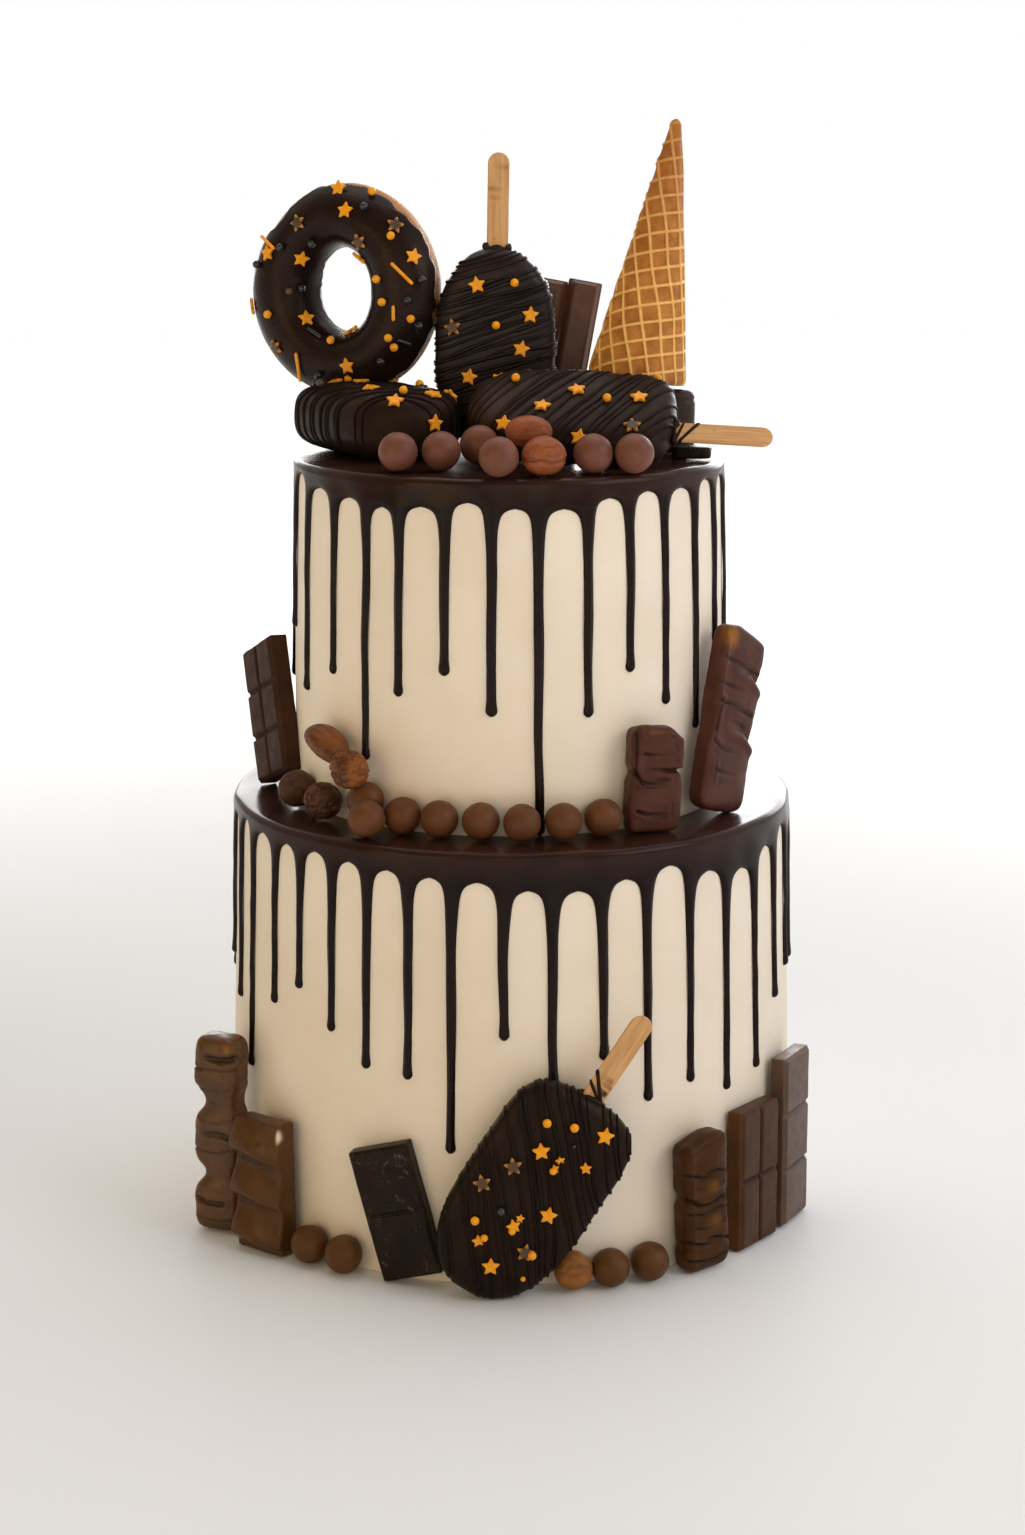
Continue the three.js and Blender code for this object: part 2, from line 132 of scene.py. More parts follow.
def along(centre, d, w):
    dz = np.array(d, float) / np.linalg.norm(d)
    wx = np.array(w, float)
    wx = wx - wx.dot(dz) * dz
    wx /= np.linalg.norm(wx)
    m = np.eye(4)
    m[:3, 0], m[:3, 1], m[:3, 2], m[:3, 3] = wx, np.cross(dz, wx), dz, centre
    return m


def apply(m, v):
    return v @ m[:3, :3].T + m[:3, 3]


# ------------------------------------------------------------------ meshes
class Part:
    """Points in local millimetres, faces, and one number or more for each point."""

    def __init__(self, v, faces, **attrs):
        self.v = np.asarray(v, float)
        self.faces = [np.asarray(f, np.int64) for f in (faces if isinstance(faces, list) else [faces])]
        self.attrs = {k: np.asarray(a, float) for k, a in attrs.items()}
        self.local = self.v.copy()

    def orient(self):
        vol = 0.0
        for f in self.faces:
            for k in range(1, f.shape[1] - 1):
                a, b, c = self.v[f[:, 0]], self.v[f[:, k]], self.v[f[:, k + 1]]
                vol += np.einsum("ij,ij->i", a, np.cross(b, c)).sum()
        if vol < 0:
            self.faces = [f[:, ::-1] for f in self.faces]
        return self

    def put(self, m, node=None):
        """Poses the part; with a node, its lowest point is set where the node's is."""
        self.local = self.v.copy()
        self.v = apply(m, self.v)
        if node:
            self.v[:, 2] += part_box(node)[0].z * 1000 - self.v[:, 2].min()
        return self

    def tris(self):
        out = []
        for f in self.faces:
            for k in range(1, f.shape[1] - 1):
                out.append(f[:, [0, k, k + 1]])
        return np.concatenate(out)

    def bvh(self):
        return BVHTree.FromPolygons((self.v * MM).tolist(), self.tris().tolist())


def grid(nu, nv, close_u=False, close_v=False):
    i = np.arange(nu if close_u else nu - 1)
    j = np.arange(nv if close_v else nv - 1)
    i, j = np.meshgrid(i, j, indexing="ij")
    i2, j2 = (i + 1) % nu, (j + 1) % nv
    return np.stack([i * nv + j, i2 * nv + j, i2 * nv + j2, i * nv + j2], -1).reshape(-1, 4)


def loft(rings, start=None, end=None):
    """Closed skin through rings (m, n, 3), with a pole at each end."""
    rings = np.asarray(rings, float)
    m, n = rings.shape[:2]
    start = rings[0].mean(0) if start is None else start
    end = rings[-1].mean(0) if end is None else end
    v = np.concatenate([rings.reshape(-1, 3), [start, end]])
    j = np.arange(n)
    a = np.stack([np.full(n, m * n), j, (j + 1) % n], -1)
    b = np.stack([np.full(n, m * n + 1), (m - 1) * n + (j + 1) % n, (m - 1) * n + j], -1)
    return Part(v, [grid(m, n, close_v=True), a, b]).orient()


def normals(part):
    n = np.zeros_like(part.v)
    for f in part.faces:
        for k in range(1, f.shape[1] - 1):
            a, b, c = part.v[f[:, 0]], part.v[f[:, k]], part.v[f[:, k + 1]]
            fn = np.cross(b - a, c - a)
            for col in (0, k, k + 1):
                np.add.at(n, f[:, col], fn)
    length = np.linalg.norm(n, axis=1, keepdims=True)
    return n / np.where(length > 1e-12, length, 1)


def swell(part, amount):
    """Moves each point along its normal by that many millimetres."""
    part.v = part.v + normals(part) * np.asarray(amount)[:, None]
    return part


def make(name, parts, material, nodes=(), merge=False, sharp=None):
    parts = parts if isinstance(parts, list) else [parts]
    verts = np.concatenate([p.v for p in parts]) * MM
    local = np.concatenate([p.local for p in parts])
    index, starts, totals, off, at = [], [], [], 0, 0
    for p in parts:
        for f in p.faces:
            m, k = f.shape
            index.append((f + off).ravel())
            starts.append(at + np.arange(m) * k)
            totals.append(np.full(m, k))
            at += m * k
        off += len(p.v)
    index, starts, totals = map(np.concatenate, (index, starts, totals))
    me = bpy.data.meshes.new(name)
    me.vertices.add(len(verts))
    me.vertices.foreach_set("co", verts.astype(np.float32).ravel())
    me.loops.add(len(index))
    me.loops.foreach_set("vertex_index", index.astype(np.int32))
    me.polygons.add(len(starts))
    me.polygons.foreach_set("loop_start", starts.astype(np.int32))
    me.polygons.foreach_set("loop_total", totals.astype(np.int32))
    me.update(calc_edges=True)
    at_local = me.attributes.new("local", "FLOAT_VECTOR", "POINT")
    at_local.data.foreach_set("vector", local.astype(np.float32).ravel())
    for key in sorted({k for p in parts for k in p.attrs}):
        values = np.concatenate([p.attrs.get(key, np.zeros(len(p.v))) for p in parts])
        a = me.attributes.new(key, "FLOAT", "POINT")
        a.data.foreach_set("value", values.astype(np.float32))
    me.validate()
    if merge:
        bm = bmesh.new()
        bm.from_mesh(me)
        bmesh.ops.remove_doubles(bm, verts=bm.verts, dist=2e-6)
        bm.to_mesh(me)
        bm.free()
    me.shade_smooth()
    if sharp:
        me.set_sharp_from_angle(angle=math.radians(sharp))
    me.materials.append(material)
    o = bpy.data.objects.new(name, me)
    scene.collection.objects.link(o)
    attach(o, "root")
    if nodes:
        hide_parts(*nodes)
    return o


def superring(a, b, z, n, e):
    t = (np.arange(n) + 0.5) / n * TAU
    return np.stack([a * sp(np.cos(t), e), b * sp(np.sin(t), e), np.full(n, z)], -1)


# ------------------------------------------------------------------ materials
def srgb(r, g, b):
    return tuple((c / 255 / 12.92 if c <= 10.31 else ((c / 255 + 0.055) / 1.055) ** 2.4) for c in (r, g, b)) + (1.0,)


class Nodes:
    def __init__(self, name):
        self.mat = bpy.data.materials.new(name)
        self.mat.use_nodes = True
        self.tree = self.mat.node_tree
        self.bsdf = self.tree.nodes["Principled BSDF"]
        self.local = self.attribute("local", "Vector")

    def node(self, kind, **values):
        n = self.tree.nodes.new(kind)
        for key, value in values.items():
            setattr(n, key, value)
        return n

    def link(self, a, b):
        self.tree.links.new(a, b)

    def attribute(self, name, output="Fac"):
        return self.node("ShaderNodeAttribute", attribute_name=name).outputs[output]

    def noise(self, scale, detail=3.0, stretch=None, rough=0.55, distort=0.0):
        n = self.node("ShaderNodeTexNoise")
        n.inputs["Scale"].default_value = scale
        n.inputs["Detail"].default_value = detail
        n.inputs["Roughness"].default_value = rough
        n.inputs["Distortion"].default_value = distort
        source = self.local
        if stretch:
            m = self.node("ShaderNodeMapping")
            m.inputs["Scale"].default_value = stretch
            self.link(self.local, m.inputs["Vector"])
            source = m.outputs["Vector"]
        self.link(source, n.inputs["Vector"])
        return n.outputs["Fac"]

    def range(self, value, a, b, c=0.0, d=1.0):
        n = self.node("ShaderNodeMapRange")
        n.interpolation_type = "SMOOTHSTEP"
        for key, x in (("From Min", a), ("From Max", b), ("To Min", c), ("To Max", d)):
            n.inputs[key].default_value = x
        self.link(value, n.inputs["Value"])
        return n.outputs["Result"]

    def mix(self, factor, a, b):
        n = self.node("ShaderNodeMix", data_type="RGBA")
        self.link(factor, n.inputs["Factor"])
        for key, x in ((6, a), (7, b)):
            if isinstance(x, tuple):
                n.inputs[key].default_value = x
            else:
                self.link(x, n.inputs[key])
        return n.outputs[2]

    def math(self, operation, a, b=0.0):
        n = self.node("ShaderNodeMath", operation=operation)
        for key, x in ((0, a), (1, b)):
            if isinstance(x, (int, float)):
                n.inputs[key].default_value = x
            else:
                self.link(x, n.inputs[key])
        return n.outputs[0]

    def bump(self, height, distance, strength=1.0, under=None):
        n = self.node("ShaderNodeBump")
        n.inputs["Strength"].default_value = strength
        n.inputs["Distance"].default_value = distance
        self.link(height, n.inputs["Height"])
        if under is not None:
            self.link(under, n.inputs["Normal"])
        return n.outputs["Normal"]

    def finish(self, colour, rough=None, normal=None, **sockets):
        if isinstance(colour, tuple):
            self.bsdf.inputs["Base Color"].default_value = colour
        else:
            self.link(colour, self.bsdf.inputs["Base Color"])
        if rough is not None:
            self.link(rough, self.bsdf.inputs["Roughness"])
        if normal is not None:
            self.link(normal, self.bsdf.inputs["Normal"])
        for key, value in sockets.items():
            self.bsdf.inputs[key.replace("_", " ")].default_value = value
        return self.mat


def simple(name, low, high, rough, scale=0.12, fine=1.2, bump=0.05, stretch=None, patch=None, **sockets):
    """Two shades in soft patches, a roughness that varies, and a fine surface."""
    m = Nodes(name)
    broad = m.noise(scale, 4, stretch)
    tiny = m.noise(fine, 3, stretch)
    colour = m.mix(m.range(broad, 0.3, 0.7), low, high)
    if patch:
        colour = patch(m, colour)
    r = m.range(m.noise(scale * 2.7, 3), 0.3, 0.7, *rough)
    normal = m.bump(m.math("ADD", m.math("MULTIPLY", broad, 2.0), tiny), bump * MM)
    return m.finish(colour, r, normal, **sockets)


def cream_material():
    m = Nodes("cream")
    broad = m.noise(0.022, 3)
    streak = m.noise(0.5, 3, (0.12, 0.12, 1.6))
    colour = m.mix(m.range(broad, 0.3, 0.7), srgb(234, 220, 201), srgb(239, 227, 210))
    colour = m.mix(m.range(m.noise(0.35, 5), 0.62, 0.8, 0.0, 0.12), colour, srgb(214, 194, 166))
    r = m.range(streak, 0.3, 0.7, 0.5, 0.62)
    normal = m.bump(m.math("ADD", streak, m.math("MULTIPLY", m.noise(1.3, 4), 0.35)), 0.09 * MM)
    mat = m.finish(colour, r, normal, Subsurface_Weight=0.12, Subsurface_Scale=0.004, Specular_IOR_Level=0.25)
    m.bsdf.inputs["Subsurface Radius"].default_value = (1.0, 0.7, 0.4)
    return mat


def ganache_material():
    m = Nodes("ganache")
    side = m.attribute("side")
    broad = m.noise(0.05, 3)
    # painted light and shade: the flat top is coloured a lighter brown and the sides darken downwards to near-black
    # drips, one ganache lit on top and shaded on its sides
    top = m.mix(m.range(broad, 0.3, 0.7), srgb(46, 26, 20), srgb(58, 34, 26))
    drip = m.mix(m.range(broad, 0.3, 0.7), srgb(21, 10, 7), srgb(29, 15, 11))
    colour = m.mix(side, top, drip)
    r = m.math("ADD", m.range(m.noise(0.05, 3), 0.25, 0.75, 0.17, 0.23), m.math("MULTIPLY", side, 0.08))
    normal = m.bump(m.math("ADD", m.noise(0.03, 2), m.math("MULTIPLY", m.noise(0.9, 3), 0.04)), 0.25 * MM)
    return m.finish(colour, r, normal, Specular_IOR_Level=0.13)


def waffle_material():
    m = Nodes("waffle")
    ridge = m.attribute("ridge")
    # the cells are coloured darker and the raised lines lighter: partly the waffle's own two tones, partly painted
    # shade in the cells and painted light on the lines
    cell = m.mix(m.range(m.noise(0.16, 4), 0.3, 0.72), srgb(196, 131, 57), srgb(162, 98, 38))
    cell = m.mix(m.range(m.noise(0.9, 5), 0.5, 0.8, 0.0, 0.55), cell, srgb(138, 76, 30))
    line = m.mix(m.range(m.noise(0.3, 3), 0.3, 0.7), srgb(246, 196, 114), srgb(232, 176, 98))
    colour = m.mix(m.range(ridge, 0.25, 0.8), cell, line)
    colour = m.mix(m.math("MULTIPLY", m.attribute("toast"), 0.5), colour, srgb(150, 84, 34))
    r = m.range(m.noise(0.6, 3), 0.3, 0.7, 0.45, 0.68)
    normal = m.bump(m.noise(1.6, 5), 0.25 * MM)
    return m.finish(colour, r, normal, Subsurface_Weight=0.08, Subsurface_Scale=0.002, Specular_IOR_Level=0.25)


def dough_material():
    m = Nodes("dough")
    colour = m.mix(m.range(m.noise(0.09, 4), 0.3, 0.7), srgb(186, 124, 68), srgb(160, 98, 50))
    colour = m.mix(m.range(m.noise(0.7, 5), 0.5, 0.8, 0.0, 0.5), colour, srgb(138, 82, 40))
    colour = m.mix(m.attribute("pale"), colour, srgb(206, 160, 106))
    r = m.range(m.noise(0.5, 3), 0.3, 0.7, 0.5, 0.7)
    normal = m.bump(m.math("ADD", m.noise(0.8, 5), m.math("MULTIPLY", m.noise(3.5, 3), 0.3)), 0.3 * MM)
    return m.finish(colour, r, normal, Specular_IOR_Level=0.2)


def stick_material():
    m = Nodes("stick_wood")
    grain = m.noise(0.9, 4, (1.0, 1.0, 0.05), distort=0.4)
    colour = m.mix(m.range(grain, 0.3, 0.7), srgb(214, 168, 118), srgb(192, 144, 94))
    colour = m.mix(m.range(m.noise(4.0, 2, (1.0, 1.0, 0.08)), 0.6, 0.8, 0.0, 0.45), colour, srgb(164, 114, 70))
    mark = m.range(m.noise(0.33, 3), 0.66, 0.75, 0.0, 0.5)
    colour = m.mix(mark, colour, srgb(150, 92, 52))
    stain = m.attribute("stain")
    colour = m.mix(stain, colour, srgb(126, 70, 34))
    colour = m.mix(m.attribute("dark"), colour, srgb(52, 32, 26))
    r = m.range(grain, 0.3, 0.7, 0.5, 0.66)
    normal = m.bump(grain, 0.08 * MM)
    return m.finish(colour, r, normal, Specular_IOR_Level=0.2)


def nut_material(name, low, high, streak, stretch=(0.35, 1.0, 1.0), glow=None):
    m = Nodes(name)
    n1 = m.noise(0.22, 4, stretch)
    n2 = m.noise(0.8, 4, (0.25, 1.4, 1.4), distort=0.6)
    colour = m.mix(m.range(n1, 0.3, 0.7), low, high)
    colour = m.mix(m.range(n2, 0.52, 0.75, 0.0, 0.7), colour, streak)
    # painted shade: darker in the furrows, fine lines and crease
    colour = m.mix(m.math("MULTIPLY", m.attribute("furrow"), 0.75), colour, srgb(44, 22, 14))
    # painted highlight: an orange band where light catches the nut
    if glow:
        colour = m.mix(m.attribute("glow"), colour, glow)
    r = m.range(n1, 0.3, 0.7, 0.34, 0.5)
    normal = m.bump(m.math("ADD", n2, m.math("MULTIPLY", n1, 0.6)), 0.16 * MM)
    return m.finish(colour, r, normal, Specular_IOR_Level=0.16)


def bar_patch(m, colour):
    """Painted shade in cracks and grooves; caramel-coloured places and painted highlights on ridges and humps, in one
    tint; a small pale cream-coloured spot.
    """
    # painted shade: the cracks and grooves are coloured darkest
    colour = m.mix(m.attribute("crack"), colour, srgb(20, 10, 6))
    # real caramel places and painted highlights on ridges and humps share this tint
    colour = m.mix(m.attribute("thin"), colour, srgb(142, 90, 32))
    # a small pale cream-coloured spot
    return m.mix(m.attribute("chip"), colour, srgb(238, 220, 188))


def dark_patch(m, colour):
    """Pale scratches on dark chocolate, and painted shade in its grooves."""
    n = m.noise(0.55, 2, (1.0, 1.0, 0.45), distort=1.2)
    line = m.math("ABSOLUTE", m.math("SUBTRACT", n, 0.5))
    mask = m.math("MULTIPLY", m.range(line, 0.0, 0.012, 1.0, 0.0), m.range(m.noise(0.11, 2), 0.55, 0.66))
    colour = m.mix(m.math("MULTIPLY", mask, 0.5), colour, srgb(150, 128, 108))
    # painted shade in the grooves between the blocks
    colour = m.mix(m.attribute("crack"), colour, srgb(12, 8, 6))
    return m.mix(m.attribute("scratch"), colour, srgb(132, 112, 94))


M_CREAM = cream_material()
M_GANACHE = ganache_material()
def coat_patch(m, colour):
    """Browner places and darker threads of a dipped coating."""
    colour = m.mix(m.attribute("brown"), colour, srgb(56, 37, 29))
    return m.mix(m.math("MULTIPLY", m.attribute("thread"), 0.6), colour, srgb(16, 9, 7))


M_COAT = simple("coating", srgb(27, 18, 13), srgb(37, 25, 19), (0.28, 0.42), 0.06, 1.0, 0.12, patch=coat_patch, Specular_IOR_Level=0.12, Specular_Tint=(1.0, 0.78, 0.66, 1.0))
M_COAT_UP = simple("coating_upright", srgb(34, 24, 22), srgb(45, 32, 30), (0.28, 0.42), 0.06, 1.0, 0.12, patch=coat_patch, Specular_IOR_Level=0.17)
M_COAT_TOP = simple("coating_lying", srgb(36, 24, 20), srgb(47, 33, 28), (0.3, 0.44), 0.06, 1.0, 0.12, patch=coat_patch, Specular_IOR_Level=0.07, Specular_Tint=(1.0, 0.78, 0.66, 1.0))
M_GLAZE = simple("glaze", srgb(28, 18, 16), srgb(37, 25, 22), (0.22, 0.34), 0.05, 0.8, 0.14, Specular_IOR_Level=0.14, Specular_Tint=(1.0, 0.78, 0.66, 1.0))
M_MILK = simple("milk_ball", srgb(104, 64, 38), srgb(92, 56, 33), (0.36, 0.48), 0.09, 0.9, 0.06, Subsurface_Weight=0.05, Subsurface_Scale=0.002, Specular_IOR_Level=0.16)
# a darker copy of the balls' colour for those down on the board: painted shade
M_MILK_LOW = simple("milk_low", srgb(97, 62, 31), srgb(85, 54, 27), (0.36, 0.48), 0.09, 0.9, 0.06, Subsurface_Weight=0.05, Subsurface_Scale=0.002, Specular_IOR_Level=0.16)
# a lighter, redder copy for the balls on the top tier: painted light
M_MILK_TOP = simple("milk_top", srgb(118, 73, 57), srgb(104, 64, 50), (0.33, 0.45), 0.09, 0.9, 0.06, Subsurface_Weight=0.05, Subsurface_Scale=0.002, Specular_IOR_Level=0.2)
M_BAR = simple("bar_coating", srgb(82, 48, 39), srgb(68, 38, 30), (0.3, 0.44), 0.08, 0.8, 0.12, patch=bar_patch, Specular_IOR_Level=0.15, Specular_Tint=(1.0, 0.78, 0.66, 1.0))
M_BAR_MILK = simple("bar_milk", srgb(98, 63, 28), srgb(79, 50, 21), (0.24, 0.36), 0.08, 0.8, 0.12, patch=bar_patch, Specular_IOR_Level=0.35)
M_BAR_LOW = simple("bar_low_coating", srgb(74, 44, 20), srgb(58, 34, 15), (0.28, 0.42), 0.08, 0.8, 0.12, patch=bar_patch, Specular_IOR_Level=0.12, Specular_Tint=(1.0, 0.78, 0.66, 1.0))
M_WAVE = simple("wave_milk", srgb(86, 55, 25), srgb(73, 46, 19), (0.26, 0.38), 0.08, 0.8, 0.06, patch=bar_patch, Specular_IOR_Level=0.3, Specular_Tint=(1.0, 0.78, 0.66, 1.0))
M_TABLET = simple("tablet", srgb(78, 52, 36), srgb(66, 43, 30), (0.36, 0.5), 0.07, 1.0, 0.07, patch=bar_patch, Specular_IOR_Level=0.14, Specular_Tint=(1.0, 0.78, 0.66, 1.0))
M_TABLET_MID = simple("tablet_mid", srgb(68, 45, 33), srgb(56, 36, 26), (0.46, 0.6), 0.07, 1.0, 0.07, patch=bar_patch, Specular_IOR_Level=0.07, Specular_Tint=(1.0, 0.78, 0.66, 1.0))
M_TABLET_PALE = simple("tablet_pale", srgb(94, 70, 54), srgb(82, 60, 46), (0.36, 0.5), 0.07, 1.0, 0.07, patch=bar_patch, Specular_IOR_Level=0.3)
M_FINGER = simple("finger", srgb(112, 76, 60), srgb(94, 62, 48), (0.3, 0.44), 0.07, 1.0, 0.06, patch=bar_patch, Specular_IOR_Level=0.3)
M_BLOCK = simple("block", srgb(58, 40, 33), srgb(48, 32, 26), (0.3, 0.45), 0.07, 0.9, 0.12, patch=bar_patch, Specular_IOR_Level=0.25)
M_DARK = simple("dark_chocolate", srgb(28, 19, 13), srgb(36, 25, 18), (0.28, 0.42), 0.09, 1.1, 0.08, patch=dark_patch, Specular_IOR_Level=0.12)
M_WAFFLE = waffle_material()
M_DOUGH = dough_material()
M_STICK = stick_material()
M_NUT = nut_material("nut", srgb(150, 84, 50), srgb(124, 66, 38), srgb(170, 96, 56))
# its orange mix colour is a painted highlight
M_NUT_LIGHT = nut_material("nut_light", srgb(116, 68, 36), srgb(84, 48, 26), srgb(138, 84, 44), glow=srgb(156, 92, 44))
M_NUT_COATED = nut_material("nut_coated", srgb(88, 55, 38), srgb(68, 41, 28), srgb(106, 68, 46))
M_NUT_GOLD = nut_material("nut_gold", srgb(152, 98, 50), srgb(122, 76, 36), srgb(172, 118, 64))
M_GOLD = simple("gold_sugar", srgb(246, 168, 24), srgb(234, 148, 12), (0.32, 0.45), 0.5, 3.0, 0.03, Subsurface_Weight=0.1, Subsurface_Scale=0.001, Specular_IOR_Level=0.3)
M_BRONZE = simple("bronze_sugar", srgb(92, 70, 52), srgb(70, 52, 40), (0.3, 0.42), 0.4, 3.0, 0.03, patch=lambda m, c: m.mix(m.attribute("tip"), c, srgb(196, 130, 48)), Specular_IOR_Level=0.3)
M_PEARL = simple("dark_pearl", srgb(42, 42, 50), srgb(30, 30, 36), (0.16, 0.28), 0.5, 3.0, 0.02)

# ------------------------------------------------------------------ tiers
LOWER_R, LOWER_TOP = 124.2, 183.0
UPPER_R, UPPER_TOP = 93.0, 331.0
UPPER_X = -1.0  # the upper tier sits a little off the middle


def flare(z):
    """Both tiers widen a little towards their foot: millimetres added to the radius."""
    z = np.asarray(z, float)
    low = np.interp(z, [0, 40, 75, 130, 186], [2.4, 2.3, 2.0, 0.0, -1.5])
    high = np.interp(z, [185, 240, 283, 334], [2.0, 1.95, 0.9, -0.6])
    return np.where(z < 185.5, low, high)


def wobble(theta, z):
    """Slight unevenness of a smoothed cream side, in millimetres."""
    p = np.stack([np.cos(theta) * 3, np.sin(theta) * 3, z / 60.0], -1)
    fine = np.stack([np.cos(theta) * 6, np.sin(theta) * 6, z / 5.0], -1)
    return 0.16 * noise3(p, 1.0, 3) + 0.035 * noise3(fine, 1.0, 8)


def tier(name, node, r, z0, z1, seed, dx=0.0):
    n = 320
    th = np.arange(n) / n * TAU
    rows = [(r - 12, z0), (r - 1.1, z0), (r - 0.35, z0 + 0.3), (r, z0 + 1.1)]
    rows += [(r, z) for z in np.linspace(z0 + 3, z1 - 3, 62)]
    rows += [(r - 0.5, z1 - 1.0), (r - 1.6, z1), (r - 14, z1)]
    rings = []
    for rad, z in rows:
        w = wobble(th, np.full(n, z)) * (rad > r - 3)
        # a faint foot where the cream meets the surface
        w = w + 0.25 * np.exp(-((z - z0) / 2.2) ** 2) * (rad > r - 3) * (1 + noise3(np.stack([np.cos(th) * 9, np.sin(th) * 9, th * 0], -1), 1.0, seed))
        w = w + flare(z)
        rings.append(np.stack([dx + (rad + w) * np.sin(th), -(rad + w) * np.cos(th), np.full(n, z)], -1))
    return make(name, loft(rings, np.array([dx, 0, z0]), np.array([dx, 0, z1])), M_CREAM, [node])


tier("cream_lower", "tier_lower", LOWER_R, 0.0, LOWER_TOP, 5)
tier("cream_upper", "tier_upper", UPPER_R, 185.6, UPPER_TOP, 6, UPPER_X)


# ------------------------------------------------------------------ ganache
def lcg(seed):
    s = seed

    def rand():
        nonlocal s
        s = (s * 1664525 + 1013904223) % 4294967296
        return s / 4294967296

    return rand


def fill_back(front, last, count, low, high, seed):
    rand, out, start = lcg(seed), list(front), front[-1][0]
    step = (last - start) / (count + 1)
    for k in range(1, count + 1):
        short = rand() < 0.6
        shift = (rand() - 0.5) * 1.2
        out.append((start + step * k + shift, high - 16 * rand() if short else low + (high - low) * rand() * 0.7))
    return out


DRIPS_UP = fill_back(
    [(-79, 262), (-65.8, 237.8), (-51.5, 248.7), (-39.2, 214.8), (-29, 243.8), (-16.3, 254), (-4.4, 237.6), (7.5, 187.2), (20.3, 236.2), (32.1, 253.6), (43.8, 237.7), (56.6, 224), (69, 257.8), (81, 246)],
    281, 15, 214, 258, 11,
)
ARCH_UP = [330, 330, 326, 324, 321.5, 322.7, 325, 322.7, 322.3, 325.9, 327.6, 327.4, 329, 329]
while len(ARCH_UP) < len(DRIPS_UP):
    ARCH_UP.append(323 + 5 * abs(math.sin(len(ARCH_UP) * 1.7)))
DRIPS_LOW = fill_back(
    [(-82, 113), (-72.1, 99.1), (-64.2, 72.7), (-54.3, 107.4), (-46, 118.2), (-37.2, 103.5), (-28.9, 90.7), (-20.1, 88.7), (-11.4, 58.3), (-1.5, 107.9), (7.8, 88), (17.6, 97.6), (27, 77.3), (36.9, 81.5), (46.9, 73), (56.9, 76.7), (66.6, 102.3), (76, 111)],
    278, 20, 62, 112, 5,
)
ARCH_LOW = [181, 181, 182, 180.2, 179.3, 179.4, 178, 176.8, 175.4, 174.3, 171, 170.2, 173.5, 176.8, 171.2, 168.2, 173.3, 178]
while len(ARCH_LOW) < len(DRIPS_LOW):
    ARCH_LOW.append(174 + 5 * abs(math.sin(len(ARCH_LOW) * 2.1)))


